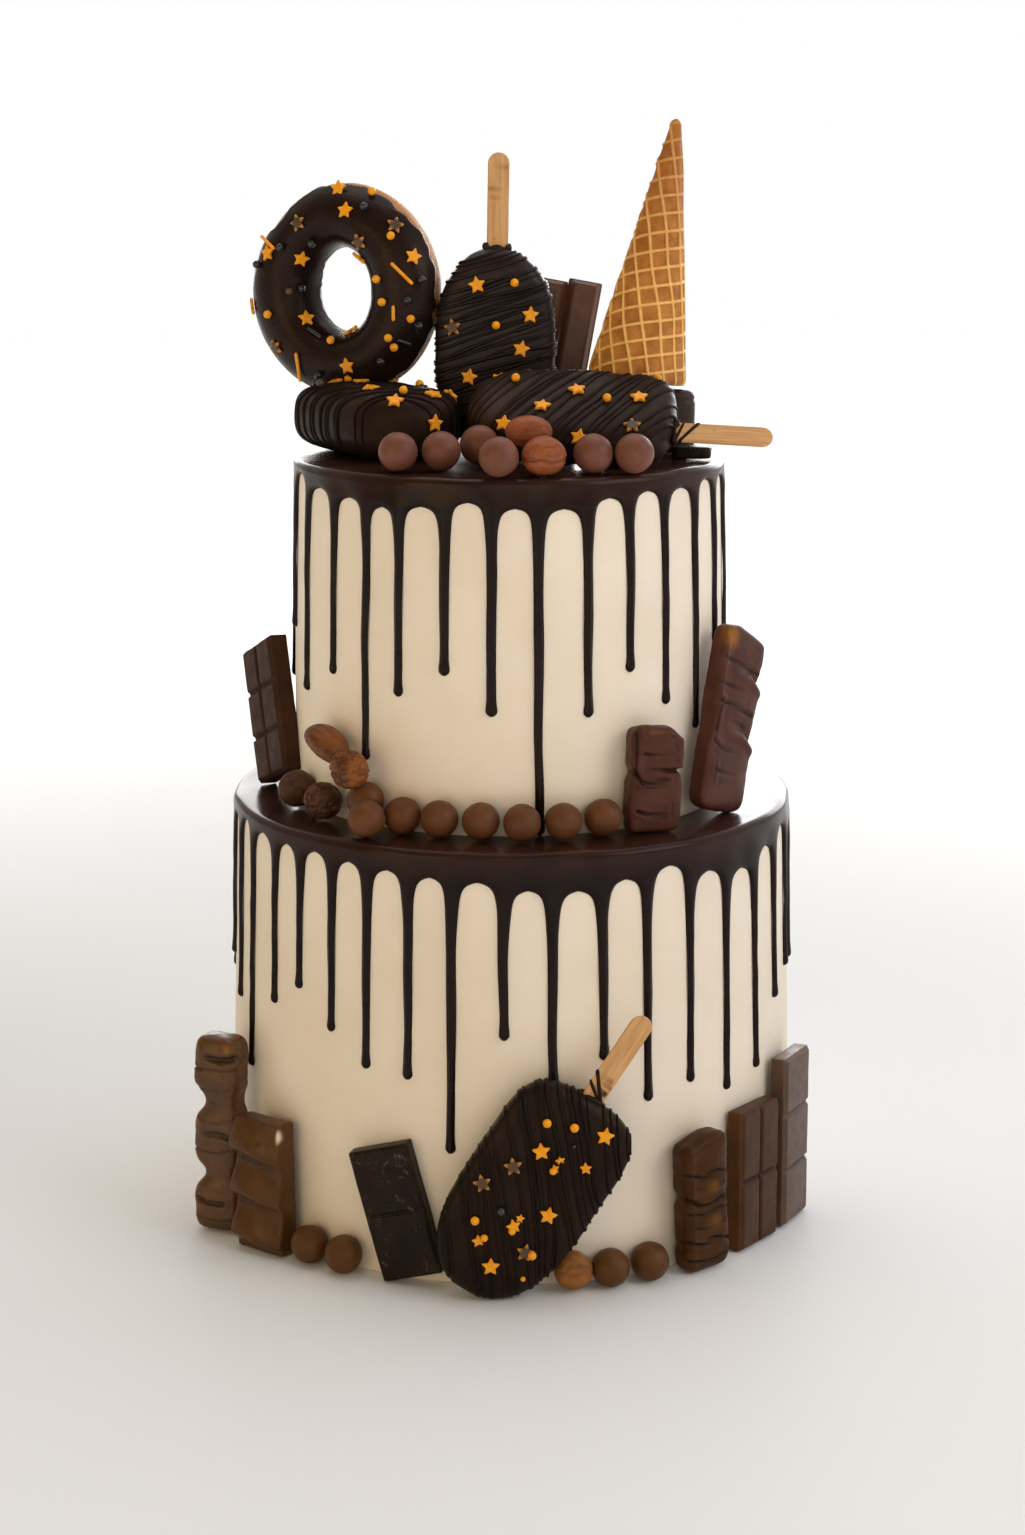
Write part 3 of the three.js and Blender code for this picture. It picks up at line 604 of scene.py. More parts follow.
def cap(name, node, R, top, drips, arches, div, seed, lower, thread, dx=0.0):
    n = len(drips)
    f, T0 = 3.0, 1.5
    az = np.radians([d[0] for d in drips])
    tips = [d[1] - lower[0] for d in drips]
    arches = [a - lower[1] for a in arches]
    mid0 = (np.roll(az, 1) - np.where(np.arange(n) == 0, TAU, 0) + az) / 2
    mid1 = np.roll(mid0, -1)
    mid1[-1] += TAU
    v = np.linspace(-1, 1, 17)
    u = np.sin(math.pi / 2 * v)
    ridge = np.cos(math.pi / 2 * u) ** 2
    strips, edges = [], []
    for k in range(n):
        h0, h1 = (az[k] - mid0[k]) * R, (mid1[k] - az[k]) * R
        a0, a1 = arches[k], arches[(k + 1) % n]
        A = a0 + (a1 - a0) * smooth((u + 1) / 2)
        length = (a0 + a1) / 2 - tips[k]
        far = np.arange(9, length - 5, 3.2)
        near = np.array([0, 0.12, 0.3, 0.55, 0.9, 1.35, 1.9, 2.7, 3.8, 5.2, 7.0])
        end = length - np.array([4.2, 3.4, 2.7, 2.1, 1.6, 1.15, 0.75, 0.42, 0.18, 0.04, 0.0])
        g = np.concatenate([near, far, end]) / length
        e = length * (1 - g)
        wave = noise3(np.stack([g * length, g * 0 + k * 7.3, g * 0], -1), (13.0, 1, 1), seed)
        w0 = thread * (1 + 0.07 * wave) * (1.06 - 0.12 * g)
        d0, d1 = g * (a0 - tips[k]), g * (a1 - tips[k])
        bulb = (1 + 0.24 * np.exp(-(((e - 2.5) / 2.6) ** 2))) * np.sqrt(np.clip(1 - (1 - np.minimum(e / 2.45, 1)) ** 2, 0, 1))
        wl = (w0 + (h0 - w0) / (1 + d0 / div)) * bulb
        wr = (w0 + (h1 - w0) / (1 + d1 / div)) * bulb
        sway = 0.45 * smooth(g * length / 14) * noise3(np.stack([g * length, g * 0 + k * 3.1, g * 0 + 5], -1), (30.0, 1, 1), seed + 1)
        S = np.where(u < 0, wl[:, None] * u, wr[:, None] * u) + sway[:, None]
        Z = A[None] - g[:, None] * (A - tips[k])[None]
        nb = 11
        fr = 1 - (1 - np.arange(nb) / nb) ** 1.5
        zt = top - f
        SB = np.repeat(np.where(u < 0, h0 * u, h1 * u)[None], nb, 0)
        ZB = zt - fr[:, None] * (zt - A)[None]
        strips.append((az[k], np.concatenate([SB, S]), np.concatenate([ZB, Z]), np.concatenate([np.full(nb, 99.0), e]), nb, (h0, h1)))
        fine = np.linspace(0, len(g) - 1, 4 * len(g))
        for c in (0, -1):
            edges.append(np.stack([az[k] * R + np.interp(fine, np.arange(len(g)), S[:, c]), np.interp(fine, np.arange(len(g)), Z[:, c])], -1))
    edges = np.concatenate(edges)
    edges = np.concatenate([edges - [TAU * R, 0], edges, edges + [TAU * R, 0]])
    parts = []
    for k, (a, S, Z, e, nb, (h0, h1)) in enumerate(strips):
        m, c = S.shape
        s = a * R + S
        near = edges[(edges[:, 0] > s.min() - 3) & (edges[:, 0] < s.max() + 3)]
        q = np.stack([s.ravel(), Z.ravel()], -1)
        d = np.sqrt(((q[:, None] - near[None]) ** 2).sum(-1)).min(1).reshape(m, c)
        prof = np.sqrt(np.clip(1 - (1 - np.minimum(d / 2.1, 1)) ** 2, 0, 1))
        down = smooth((top - f - Z) / 9)
        T = T0 + down * (0.42 * ridge[None] - 0.1) + 0.3 * np.exp(-(((e[:, None] - 2.5) / 2.8) ** 2))
        th = s / R
        lip = 0.16 * noise3(np.stack([th.ravel() * 9, Z.ravel() / 9, np.zeros(m * c)], -1), 1.0, seed + 2).reshape(m, c)
        rad = R + flare(np.minimum(Z, top - 1)) + wobble(th.ravel(), Z.ravel()).reshape(m, c) * down + (T + lip * down) * prof - 0.4 * (1 - prof)
        # rounded top edge and the flat top, to the middle
        th0 = (a * R + np.where(u < 0, h0 * u, h1 * u)) / R
        rise = 0.3 * noise3(np.stack([np.cos(th0) * 5, np.sin(th0) * 5, th0 * 0], -1), 1.0, seed + 3)
        bulge = 0.35 * noise3(np.stack([np.cos(th0) * 7, np.sin(th0) * 7, th0 * 0], -1), 1.0, seed + 4)
        rows_r, rows_z, rows_s = [], [], []
        out = R + T0 + float(flare(top - 1))
        for inner in (0.0, 8, 18, 30, 42, 54, 66, 76, 84, 92, 100, 107, 113, 117, 120):
            if inner > out - f - 1.2:
                break
            p = np.stack([inner * np.sin(th0), -inner * np.cos(th0), th0 * 0], -1)
            rows_r.append(np.full(c, float(inner)))
            rows_z.append(top + 0.22 * noise3(p, 17.0, seed + 5) + rise * smooth((inner - out + 16) / 12))
            rows_s.append(np.zeros(c))
        for t in np.linspace(0, math.pi / 2, 9)[:-1]:
            lift = rise
            rows_r.append(out - f + f * math.sin(t) + bulge * math.sin(t))
            rows_z.append(top - f + f * math.cos(t) + lift * math.cos(t) + rise * 0.0)
            rows_s.append(np.full(c, t / (math.pi / 2)))
        fade = np.clip(1 - (top - f - Z) / 7, 0, 1)
        rad = rad + bulge[None] * fade
        TH = np.concatenate([np.repeat(th0[None], len(rows_r), 0), th])
        RAD = np.concatenate([np.array(rows_r), rad])
        ZZ = np.concatenate([np.array(rows_z), Z])
        # side is painted shade: 0 on the flat top, rising over the rounded edge and down the band towards 1, where the
        # ganache is coloured darkest
        side = np.concatenate([np.array(rows_s) * 0.4, 0.4 + 0.6 * smooth((top - f - Z) / 12)])
        V = np.stack([dx + RAD * np.sin(TH), -RAD * np.cos(TH), ZZ], -1).reshape(-1, 3)
        parts.append(Part(V, grid(len(RAD), c), side=side.ravel()))
    return make(name, parts, M_GANACHE, [node], merge=True)


cap("drips_lower", "ganache_lower", LOWER_R, 186.0, DRIPS_LOW, ARCH_LOW, 1.5, 21, (0.9, 0.9), 1.78)
cap("drips_upper", "ganache_upper", UPPER_R, 334.0, DRIPS_UP, ARCH_UP, 1.1, 31, (1.2, 1.0), 1.88, UPPER_X)

# ------------------------------------------------------------------ doughnut
targets = {}  # surfaces that sprinkles lie on
RING = pose(-73.6, 43, 403.2, -30)
RING_R = 31.5


def flat_side(a, f):
    """The ring is a little flattened at its upper left."""
    turn = (a - math.radians(138) + math.pi) % TAU - math.pi
    return 2.0 * np.exp(-((turn / math.radians(32)) ** 2)) * np.clip(np.cos(f), 0, 1)


def inward(a, f):
    """How much the tube is pressed in towards its core on the side of the hole."""
    return 1 - (0.05 + 0.15 * np.sin(a) ** 2) * smooth(-np.cos(f) / 0.8)


def ring_dough():
    nu, nv = 180, 56
    a, f = np.meshgrid(np.arange(nu) / nu * TAU, np.arange(nv) / nv * TAU, indexing="ij")
    p = np.stack([np.cos(a) * 31, np.sin(a) * 31, f * 6], -1).reshape(-1, 3)
    tube = 15.3 + 0.35 * noise3(p, 13.0, 41).reshape(nu, nv) + 0.12 * noise3(p, 4.0, 42).reshape(nu, nv)
    q = RING_R + tube * np.cos(f) * inward(a, f) - flat_side(a, f)
    v = np.stack([q * np.cos(a), -tube * np.sin(f), q * np.sin(a)], -1).reshape(-1, 3)
    # paler line round the outside, where a fried ring floats
    pale = 0.55 * np.exp(-(((np.degrees(f) + 180) % 360 - 180 + 8) / 13) ** 2).ravel()
    return Part(v, grid(nu, nv, True, True), pale=pale).orient().put(RING)


def ring_glaze():
    nu, nv = 260, 54
    a = np.arange(nu) / nu * TAU
    aa = np.stack([np.cos(a) * 4, np.sin(a) * 4, a * 0], -1)
    left = np.clip(-np.cos(a), 0, 1)
    bite = 22 * np.exp(-(((np.degrees(a) - 131) / 15) ** 2)) + 8 * np.exp(-(((np.degrees(a) - 54) / 14) ** 2))
    f0 = np.radians(20 - 17 * np.clip(np.cos(a), 0, 1) + 9 * left + bite + 6 * noise3(aa, 1.1, 43) + 6 * noise3(aa, 0.42, 44))
    f1 = np.radians(198 + 7 * noise3(aa, 1.0, 45) + 5 * noise3(aa, 0.4, 46))
    j = np.linspace(0, 1, nv)
    s = 0.5 - 0.5 * np.cos(math.pi * j)
    s = 0.6 * s + 0.4 * j
    f = f0[:, None] + (f1 - f0)[:, None] * s[None]
    edge = np.minimum((f - f0[:, None]), (f1[:, None] - f)) * 16
    prof = np.sqrt(np.clip(1 - (1 - np.minimum(edge / 1.5, 1)) ** 2, 0, 1))
    A = np.repeat(a[:, None], nv, 1)
    p = np.stack([np.cos(A) * 31, np.sin(A) * 31, f * 16], -1).reshape(-1, 3)
    lump = 0.3 * noise3(p, 12.0, 47).reshape(nu, nv)
    tube = 14.9 + (1.2 + lump + 0.25 * np.exp(-((edge - 2.2) / 1.6) ** 2)) * prof
    q = RING_R + tube * np.cos(f) * inward(A, f) - flat_side(A, f)
    v = np.stack([q * np.cos(A), -tube * np.sin(f), q * np.sin(A)], -1).reshape(-1, 3)
    part = Part(v, grid(nu, nv, close_u=True))
    c = part.v[part.faces[0]]
    n = np.cross(c[:, 1] - c[:, 0], c[:, 2] - c[:, 0]).sum(0)
    if n[1] > 0:
        part.faces = [g[:, ::-1] for g in part.faces]
    return part.put(RING)


dough = ring_dough()
glaze = ring_glaze()
make("doughnut_ring", dough, M_DOUGH, ["doughnut_dough"])
make("doughnut_icing", glaze, M_GLAZE, ["doughnut_glaze"])
targets["ring"] = Part(np.concatenate([dough.v, glaze.v]), [dough.faces[0], glaze.faces[0] + len(dough.v)])


# ------------------------------------------------------------------ coated pops
def pop_base(L, W, T, square=6.5, seed=0):
    n = 88
    s = 0.5 - 0.5 * np.cos(np.linspace(0.04, math.pi - 0.04, 84))
    rings = []
    for x in s:
        k = 2 * x - 1
        e = 2.7 if k < 0 else square
        a = (W / 2) * (1 - abs(k) ** e) ** (1 / 2.1 if (k < 0 or square < 4) else 1 / 2.6)
        b = (T / 2) * (1 - abs(k) ** 7) ** (1 / 2.2)
        rings.append(superring(a, b, (x - 0.5) * L, n, 0.62))
    part = loft(rings, np.array([0, 0, -L / 2]), np.array([0, 0, L / 2]))
    d = 0.28 * noise3(part.v, 11.0, seed) + 0.1 * noise3(part.v, 3.5, seed + 1)
    return swell(part, d - 0.15)


def level_loops(part, field, at):
    """Closed lines on the part's surface where the field has that value."""
    tri = part.tris()
    d = field - at
    sign = d > 0
    c = sign[tri]
    hit = tri[(c.sum(1) == 1) | (c.sum(1) == 2)]
    links, points = {}, {}
    for t in hit.tolist():
        ends = []
        for a, b in ((t[0], t[1]), (t[1], t[2]), (t[2], t[0])):
            if sign[a] != sign[b]:
                key = (a, b) if a < b else (b, a)
                if key not in points:
                    w = d[key[0]] / (d[key[0]] - d[key[1]])
                    points[key] = part.v[key[0]] * (1 - w) + part.v[key[1]] * w
                ends.append(key)
        if len(ends) == 2:
            links.setdefault(ends[0], []).append(ends[1])
            links.setdefault(ends[1], []).append(ends[0])
    loops, seen = [], set()
    for key in links:
        if key in seen:
            continue
        line, at_key = [], key
        while at_key is not None and at_key not in seen:
            seen.add(at_key)
            line.append(points[at_key])
            at_key = next((k for k in links[at_key] if k not in seen), None)
        if len(line) > 12:
            loops.append(np.array(line))
    return loops


def resample(line, step, closed=True):
    p = np.concatenate([line, line[:1]]) if closed else line
    seg = np.linalg.norm(np.diff(p, axis=0), axis=1)
    s = np.concatenate([[0], np.cumsum(seg)])
    n = max(8, int(s[-1] / step))
    t = np.linspace(0, s[-1], n, endpoint=not closed)
    return np.stack([np.interp(t, s, p[:, i]) for i in range(3)], -1)


def strand(tree, line, half, high, seed, closed=True, step=1.3, rough=0.3, lift=None):
    """A flat, uneven thread of icing that lies along a line on a surface (local millimetres)."""
    p = resample(line, step, closed)
    for _ in range(2):
        p = (np.roll(p, 1, 0) + 2 * p + np.roll(p, -1, 0)) / 4 if closed else np.concatenate([p[:1], (p[:-2] + 2 * p[1:-1] + p[2:]) / 4, p[-1:]])
    n = np.zeros_like(p)
    for i, x in enumerate(p):
        hit = tree.find_nearest(Vector(x))
        p[i], n[i] = hit[0], hit[1]
    for _ in range(3):
        n = (np.roll(n, 1, 0) + 2 * n + np.roll(n, -1, 0)) / 4 if closed else np.concatenate([n[:1], (n[:-2] + 2 * n[1:-1] + n[2:]) / 4, n[-1:]])
    n /= np.linalg.norm(n, axis=1, keepdims=True)
    t = np.roll(p, -1, 0) - np.roll(p, 1, 0)
    if not closed:
        t[0], t[-1] = p[1] - p[0], p[-1] - p[-2]
    t /= np.linalg.norm(t, axis=1, keepdims=True) + 1e-9
    b = np.cross(t, n)
    arc = np.arange(len(p)) * step
    if closed:  # a loop's noise closes on itself
        ang = arc / arc[-1] * TAU if arc[-1] > 0 else arc
        q = np.stack([np.cos(ang), np.sin(ang), ang * 0 + seed * 1.7], -1) * (arc[-1] / TAU)
        q[:, 2] = seed * 37.1
    else:
        q = np.stack([arc, arc * 0, arc * 0 + seed * 37.1], -1)
    k = 1 + rough * noise3(q, 5.0, seed) + 0.6 * rough * noise3(q, 2.2, seed + 1)
    h = 1 + rough * noise3(q, 7.0, seed + 2)
    if lift is not None:
        h = h * lift(p)
    if not closed:
        taper = np.minimum(1, np.minimum(np.arange(len(p)), np.arange(len(p))[::-1]) / 2.5 + 0.15)
        k, h = k * taper, h * taper
    m = 7
    ang = (np.arange(m) + 0.5) / m * TAU
    co, si = np.cos(ang), np.sin(ang)
    up = np.where(si > 0, si, si * 0.35)
    v = p[:, None] + b[:, None] * (half * k[:, None] * co[None])[..., None] + n[:, None] * (high * h[:, None] * up[None])[..., None]
    if closed:
        return Part(v.reshape(-1, 3), grid(len(p), m, True, True), thread=np.ones(len(p) * m)).orient()
    out = loft(v, p[0], p[-1])
    out.attrs["thread"] = np.ones(len(out.v))
    return out


def drizzle(base, direction, spacing, half, high, seed, warp=1.0, extra=0.35, keep=None, lift=None, skew_by=0.03):
    """Threads round a body, each where a wavy plane across that direction cuts it."""
    rand = np.random.RandomState(seed)
    n = np.array(direction, float) / np.linalg.norm(direction)
    field = base.v @ n + warp * noise3(base.v, 30.0, seed) + 0.25 * warp * noise3(base.v, 9.0, seed + 1)
    tree = BVHTree.FromPolygons(base.v.tolist(), base.tris().tolist())
    lo, hi = field.min(), field.max()
    levels, c = [], lo + spacing * 0.8
    while c < hi - spacing * 0.5:
        levels.append((c + rand.uniform(-0.28, 0.28) * spacing, rand.uniform(0.75, 1.2)))
        if rand.rand() < extra:
            levels.append((c + rand.uniform(0.35, 0.65) * spacing, rand.uniform(0.4, 0.7)))
        c += spacing
    out = []
    for i, (at, k) in enumerate(levels):
        skew = field + rand.uniform(-skew_by, skew_by) * (base.v @ np.cross(n, [0, 1, 0]))
        if keep is not None and not keep(at):
            continue
        for line in level_loops(base, skew, at):
            out.append(strand(tree, line, half * k, high * (0.6 + 0.4 * k), seed + 3 * i, lift=lift))
    return out


def stick(L, out, shift=0.0, twist=0.0, stains=(), seed=0):
    """Flat wooden stick with softened edges and a round free end."""
    h, t = 4.7, 1.0
    z0, z1, tip = L / 2 - 6.0, L / 2 + out - 4.7, L / 2 + out
    zs = np.concatenate([np.linspace(z0, z1, 46), z1 + 4.7 * np.sin(np.linspace(0, math.pi / 2, 14))[1:-1], [tip - 0.02]])
    n = 28
    rings = []
    for z in zs:
        w = h if z <= z1 else math.sqrt(max(h * h - (z - z1) ** 2, 0.01))
        a = (np.arange(n) + 0.5) / n * TAU
        x, y = sp(np.cos(a), 0.22), sp(np.sin(a), 0.5)
        edge = min(1.0, 0.55 + 0.45 * w / h)
        rings.append(np.stack([w * x, t * y * edge, np.full(n, z)], -1))
    p = loft(rings)
    p.v[:, 1] += 0.12 * noise3(p.v, (30, 30, 18), seed)
    p.v[:, 0] += 0.08 * noise3(p.v, (30, 30, 9), seed + 1)
    stain = np.zeros(len(p.v))
    dark = np.zeros(len(p.v))
    for x, z, r, k in stains:
        d = np.hypot((p.v[:, 0] - x), (p.v[:, 2] - (L / 2 + z)) * 0.9)
        m = smooth(1 - (d - r * 0.5) / (r * 0.6)) * (p.v[:, 1] < 0.6)
        if k > 1:
            dark = np.maximum(dark, m)
        else:
            stain = np.maximum(stain, m * k)
    p.attrs = {"stain": stain, "dark": dark}
    m = np.eye(4)
    m[0, 3] = shift
    m = rot("z", math.degrees(0)) @ m
    c, s = math.cos(twist), math.sin(twist)
    r = np.eye(4)
    r[0, 0], r[0, 1], r[1, 0], r[1, 1] = c, -s, s, c
    local = p.v.copy()
    p.v = apply(m @ r, p.v)
    p.saved = local
    return p


def stick_put(p, m):
    p.v = apply(m, p.v)
    p.local = p.saved
    return p


POP_UP = along([-7.1, 19.5, 378.4], [0.02, 0, 1], [1, 0, 0])
POP_LYING = along([25.6, -31.5, 353.2], [0.985, -0.139, -0.045], [0.12, 0.85, 0.5])
TURN, LEAN, TIP = map(math.radians, (3, 1, 33))
UP = np.array([-math.sin(TURN) * math.sin(LEAN), math.cos(TURN) * math.sin(LEAN), math.cos(LEAN)])
RIGHT = np.array([math.cos(TURN), math.sin(TURN), 0])
POP_FRONT = along([6.6, -136.5, 44.9], math.cos(TIP) * UP + math.sin(TIP) * RIGHT, -math.sin(TIP) * UP + math.cos(TIP) * RIGHT)
POP_LOW = along([-57, 3, 348.8], [-0.47, 0.88, 0], [0.88, 0.47, 0])


def local_dir(m, world):
    return m[:3, :3].T @ np.array(world, float)


def collar(z, half, high, seed, square_w=9.4, t=2.0, shift=0.0, twist=0.0):
    """Uneven roll of coating round the stick, where it goes in."""
    n, k = 44, 10
    a = np.arange(n) / n * TAU
    lump = noise3(np.stack([np.cos(a) * 3, np.sin(a) * 3, a * 0], -1), 1.0, seed)
    path = np.stack([(square_w / 2 + 0.5) * sp(np.cos(a), 0.5), (t / 2 + 0.6) * sp(np.sin(a), 0.6), z + 0.8 * lump], -1)
    out = np.stack([np.cos(a) * 0.6, np.sin(a), a * 0], -1)
    out /= np.linalg.norm(out, axis=1, keepdims=True)
    b = np.arange(k) / k * TAU
    r = half * (1 + 0.3 * lump)
    v = path[:, None] + out[:, None] * (r[:, None] * np.cos(b)[None])[..., None] + np.array([0, 0, 1.0])[None, None] * (high * (1 + 0.35 * lump)[:, None] * np.sin(b)[None])[..., None]
    p = Part(v.reshape(-1, 3), grid(n, k, True, True)).orient()
    c, s = math.cos(twist), math.sin(twist)
    p.v = np.stack([c * p.v[:, 0] - s * p.v[:, 1] + shift, s * p.v[:, 0] + c * p.v[:, 1], p.v[:, 2]], -1)
    return p


def pop(name, node, m, dims, direction, spacing, half, high, seed, square=6.5, brown=None, **kw):
    base = pop_base(*dims, square=square, seed=seed)
    threads = drizzle(base, direction, spacing, half, high, seed, **kw)
    parts = [base] + threads
    if brown is not None:
        for p in parts:
            p.attrs["brown"] = brown(p.v)
    return base, parts


def place_all(parts, m, node=None):
    for p in parts:
        p.local = p.v.copy()
        p.v = apply(m, p.v)
    if node:
        base = parts[0]
        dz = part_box(node)[0].z * 1000 - base.v[:, 2].min()
        for p in parts:
            p.v[:, 2] += dz


# upright pop, threads rising to the right
d = local_dir(POP_UP, [-math.sin(math.radians(17)), 0, math.cos(math.radians(17))])
base, parts = pop("pop_upright", "pop_upright", POP_UP, (88, 53.4, 22), d, 3.7, 0.85, 0.72, 101, square=2.55, warp=1.3, extra=0.5, skew_by=0.09)
parts.append(collar(43.7, 1.2, 1.5, 7))
place_all(parts, POP_UP)
targets["upright"] = parts[0]
make("pop_upright_body", parts, M_COAT_UP, ["pop_upright"])
make("pop_upright_stick_wood", stick_put(stick(88, 40.4, stains=[(-0.4, 30.5, 0.9, 0.8), (-3.4, 25, 1.3, 0.5), (3.4, 34, 1.2, 0.45), (-3.0, 21.5, 0.9, 0.35)], seed=3), POP_UP), M_STICK, ["pop_upright_stick"])

# lying pop, threads rising to the right across its upper face
d = np.array([-0.51, 0.0, 0.86])
base, parts = pop("pop_lying", "pop_lying", POP_LYING, (89, 53, 21), d, 4.6, 0.85, 0.7, 121, warp=1.2, extra=0.45, skew_by=0.06, brown=lambda v: 0.85 * smooth((-18 - v[:, 2] + 4 * noise3(v, 9.0, 5)) / 16))
TW = math.radians(18)
parts.append(collar(44.4, 1.1, 1.2, 9, shift=-6.5, twist=TW))
place_all(parts, POP_LYING)
targets["lying"] = parts[0]
make("pop_lying_body", parts, M_COAT_TOP, ["pop_lying"])
make("pop_lying_stick_wood", stick_put(stick(89, 41, -6.5, TW, stains=[(1.5, 26, 1.4, 0.25)], seed=6), POP_LYING), M_STICK, ["pop_lying_stick"])

# leaning pop in front
d = local_dir(POP_FRONT, [math.cos(math.radians(8)), 0, math.sin(math.radians(8))])
base, parts = pop("pop_front", "pop_front", POP_FRONT, (97.5, 56.8, 16), d, 4.7, 0.95, 0.72, 141, warp=1.6, extra=0.45, skew_by=0.06, lift=lambda p: 0.5 + 0.6 * smooth((p @ d + 16) / 26))
parts.append(collar(48.2, 1.0, 1.0, 12))
place_all(parts, POP_FRONT)
targets["front"] = parts[0]
make("pop_front_body", parts, M_COAT, ["pop_front"])
make(
    "pop_front_stick_wood",
    stick_put(stick(97.5, 40.4, stains=[(1.6, 9.8, 2.1, 0.85), (3.4, 7.4, 1.2, 0.7), (3.0, 4.2, 1.5, 2)], seed=9), POP_FRONT),
    M_STICK, ["pop_front_stick"],
)

# pop that lies under the doughnut
base, parts = pop("pop_low", "pop_low", POP_LOW, (90, 55, 29), [0.5, 0.0, 0.866], 5.2, 0.95, 0.8, 161, warp=1.8, extra=0.3, skew_by=0.09)
place_all(parts, POP_LOW, "pop_low")
inverse = np.linalg.inv(RING)
for p in parts:  # pressed in where the doughnut stands
    q = apply(inverse, p.v)
    ring = np.stack([q[:, 0], q[:, 2]], -1)
    length = np.maximum(np.linalg.norm(ring, axis=1, keepdims=True), 1e-6)
    core = np.stack([ring[:, 0] / length[:, 0] * RING_R, np.zeros(len(q)), ring[:, 1] / length[:, 0] * RING_R], -1)
    off = q - core
    dist = np.linalg.norm(off, axis=1)
    inside = dist < 16.3
    down = np.where(inside, np.sqrt(np.maximum(16.3**2 - (dist**2 - off[:, 2] ** 2), 0)) + off[:, 2], 0)
    p.v[:, 2] -= np.where(inside, np.minimum(down, 9), 0)
targets["low"] = parts[0]
make("pop_low_body", parts, M_COAT_TOP, ["pop_low"])


# threads that cross the sticks
def cross_threads(specs):
    out = []
    for m, z, slope, half, shift, twist, seed in specs:
        a = np.linspace(0, TAU, 40, endpoint=False)
        x = 4.75 * sp(np.cos(a), 0.3)
        line = np.stack([x, 1.05 * sp(np.sin(a), 0.5), z + slope * x], -1)
        c, s = math.cos(twist), math.sin(twist)
        line = np.stack([c * line[:, 0] - s * line[:, 1] + shift, s * line[:, 0] + c * line[:, 1], line[:, 2]], -1)
        t = np.roll(line, -1, 0) - np.roll(line, 1, 0)
        t /= np.linalg.norm(t, axis=1, keepdims=True)
        n = np.stack([c * np.cos(a) * 0.4 - s * np.sin(a), s * np.cos(a) * 0.4 + c * np.sin(a), a * 0], -1)
        n /= np.linalg.norm(n, axis=1, keepdims=True)
        b = np.cross(t, n)
        k = 8
        g = np.arange(k) / k * TAU
        wob = half * (1 + 0.25 * noise3(line, 3.0, seed))
        v = line[:, None] + b[:, None] * (wob[:, None] * np.cos(g)[None])[..., None] + n[:, None] * (0.6 * wob[:, None] * np.sin(g)[None])[..., None]
        p = Part(v.reshape(-1, 3), grid(len(a), k, True, True)).orient()
        out.append(p.put(m))
    return out


make(
    "stick_threads",
    cross_threads([
        (POP_FRONT, 53.6, -1.25, 0.8, 0, 0, 1),
        (POP_FRONT, 51.0, -0.75, 0.7, 0, 0, 2),
        (POP_LYING, 50.5, 0.75, 0.75, -6.5, TW, 3),
        (POP_LYING, 46.5, 0.3, 0.6, -6.5, TW, 4),
    ]),
    M_COAT,
)


# ------------------------------------------------------------------ waffle cone
def cone():
    top = 111.8
    rise = 0.1785
    apex = 125.6
    beta = math.atan(rise)
    seam = math.radians(-158)
    n = 250
    frac = np.concatenate([np.linspace(0, 1, n - 2), [1.0 - 1e-4]])
    frac = np.sort(np.concatenate([frac[:-1], [0.9985]]))
    phi = seam + frac[:-1] * TAU
    rows_z = np.concatenate([[0, 0.4, 1.1, 2.2], np.linspace(3, 107.8, 196), 108.6 + 3.2 * np.sin(np.linspace(0.1, 1.5, 7))])
    rings, ridges = [], []
    for z in rows_z:
        if z < 2.2:
            r = 21.8 - 0.7 * (1 - z / 2.2) ** 2
        elif z <= 108.6:
            r = 21.8 - (z - 2.2) * rise
        else:
            r = 2.8 * math.sqrt(max(1 - ((z - 108.6) / 3.25) ** 2, 0.0))
        rho = (apex - z) / math.cos(beta)
        turn = (phi - 0.0) * math.sin(beta)
        X, Y = rho * np.sin(turn), rho * np.cos(turn)
        bend = np.stack([X, Y, np.zeros(len(X))], -1)
        X, Y = X + 0.7 * noise3(bend, 19.0, 62), Y + 0.8 * noise3(bend, 23.0, 63)
        P = 7.5
        px = np.abs((X / P + 0.5) % 1 - 0.5) * P
        py = np.abs((Y / P + 0.5) % 1 - 0.5) * P
        k = np.maximum(smooth(1 - px / 1.2), smooth(1 - py / 1.2))
        fadeout = min(1.0, r / 6.0)
        lift = 1.0 * k * fadeout
        layer = 1.25 * (1 - (phi - seam) / TAU) * min(1, r / 5)
        wav = 0.3 * noise3(np.stack([np.cos(phi) * 8, np.sin(phi) * 8, np.full(len(phi), z / 6)], -1), 3.0, 61)
        rr = r - 0.7 * fadeout + lift + layer - 0.6 + wav * fadeout
        rr = np.maximum(rr, 0.05)
        rings.append(np.stack([rr * np.cos(phi), rr * np.sin(phi), np.full(len(phi), z)], -1))
        # ridge is 1 on the raised lines and 0 in the cells; the colour turns lighter along it, partly the waffle's own
        # tones, partly painted light and shade
        ridges.append(k * fadeout + (1 - fadeout) * 0.45)
    outer = np.array(rings)
    m = len(outer)
    inner = []
    for z, r in ((0.0, 19.4), (6, 18.6), (20, 16.0), (60, 9.0), (100, 2.0)):
        inner.append(np.stack([r * np.cos(phi), r * np.sin(phi), np.full(len(phi), float(z))], -1))
    rings = np.concatenate([np.array(inner)[::-1], outer])
    part = loft(rings, np.array([0, 0, 102.0]), np.array([0, 0, top]))
    ridge = np.concatenate([np.full(len(inner) * len(phi), 0.3), np.array(ridges).ravel(), [0.3, 0.4]])
    toast = smooth((part.v[:, 2] - 34) / 70)
    part.attrs = {"ridge": ridge, "toast": toast}
    return part.put(pose(54.7, 12, 366.2, 0, 0, 8.4))


make("cone_of_waffle", cone(), M_WAFFLE, ["waffle_cone"])


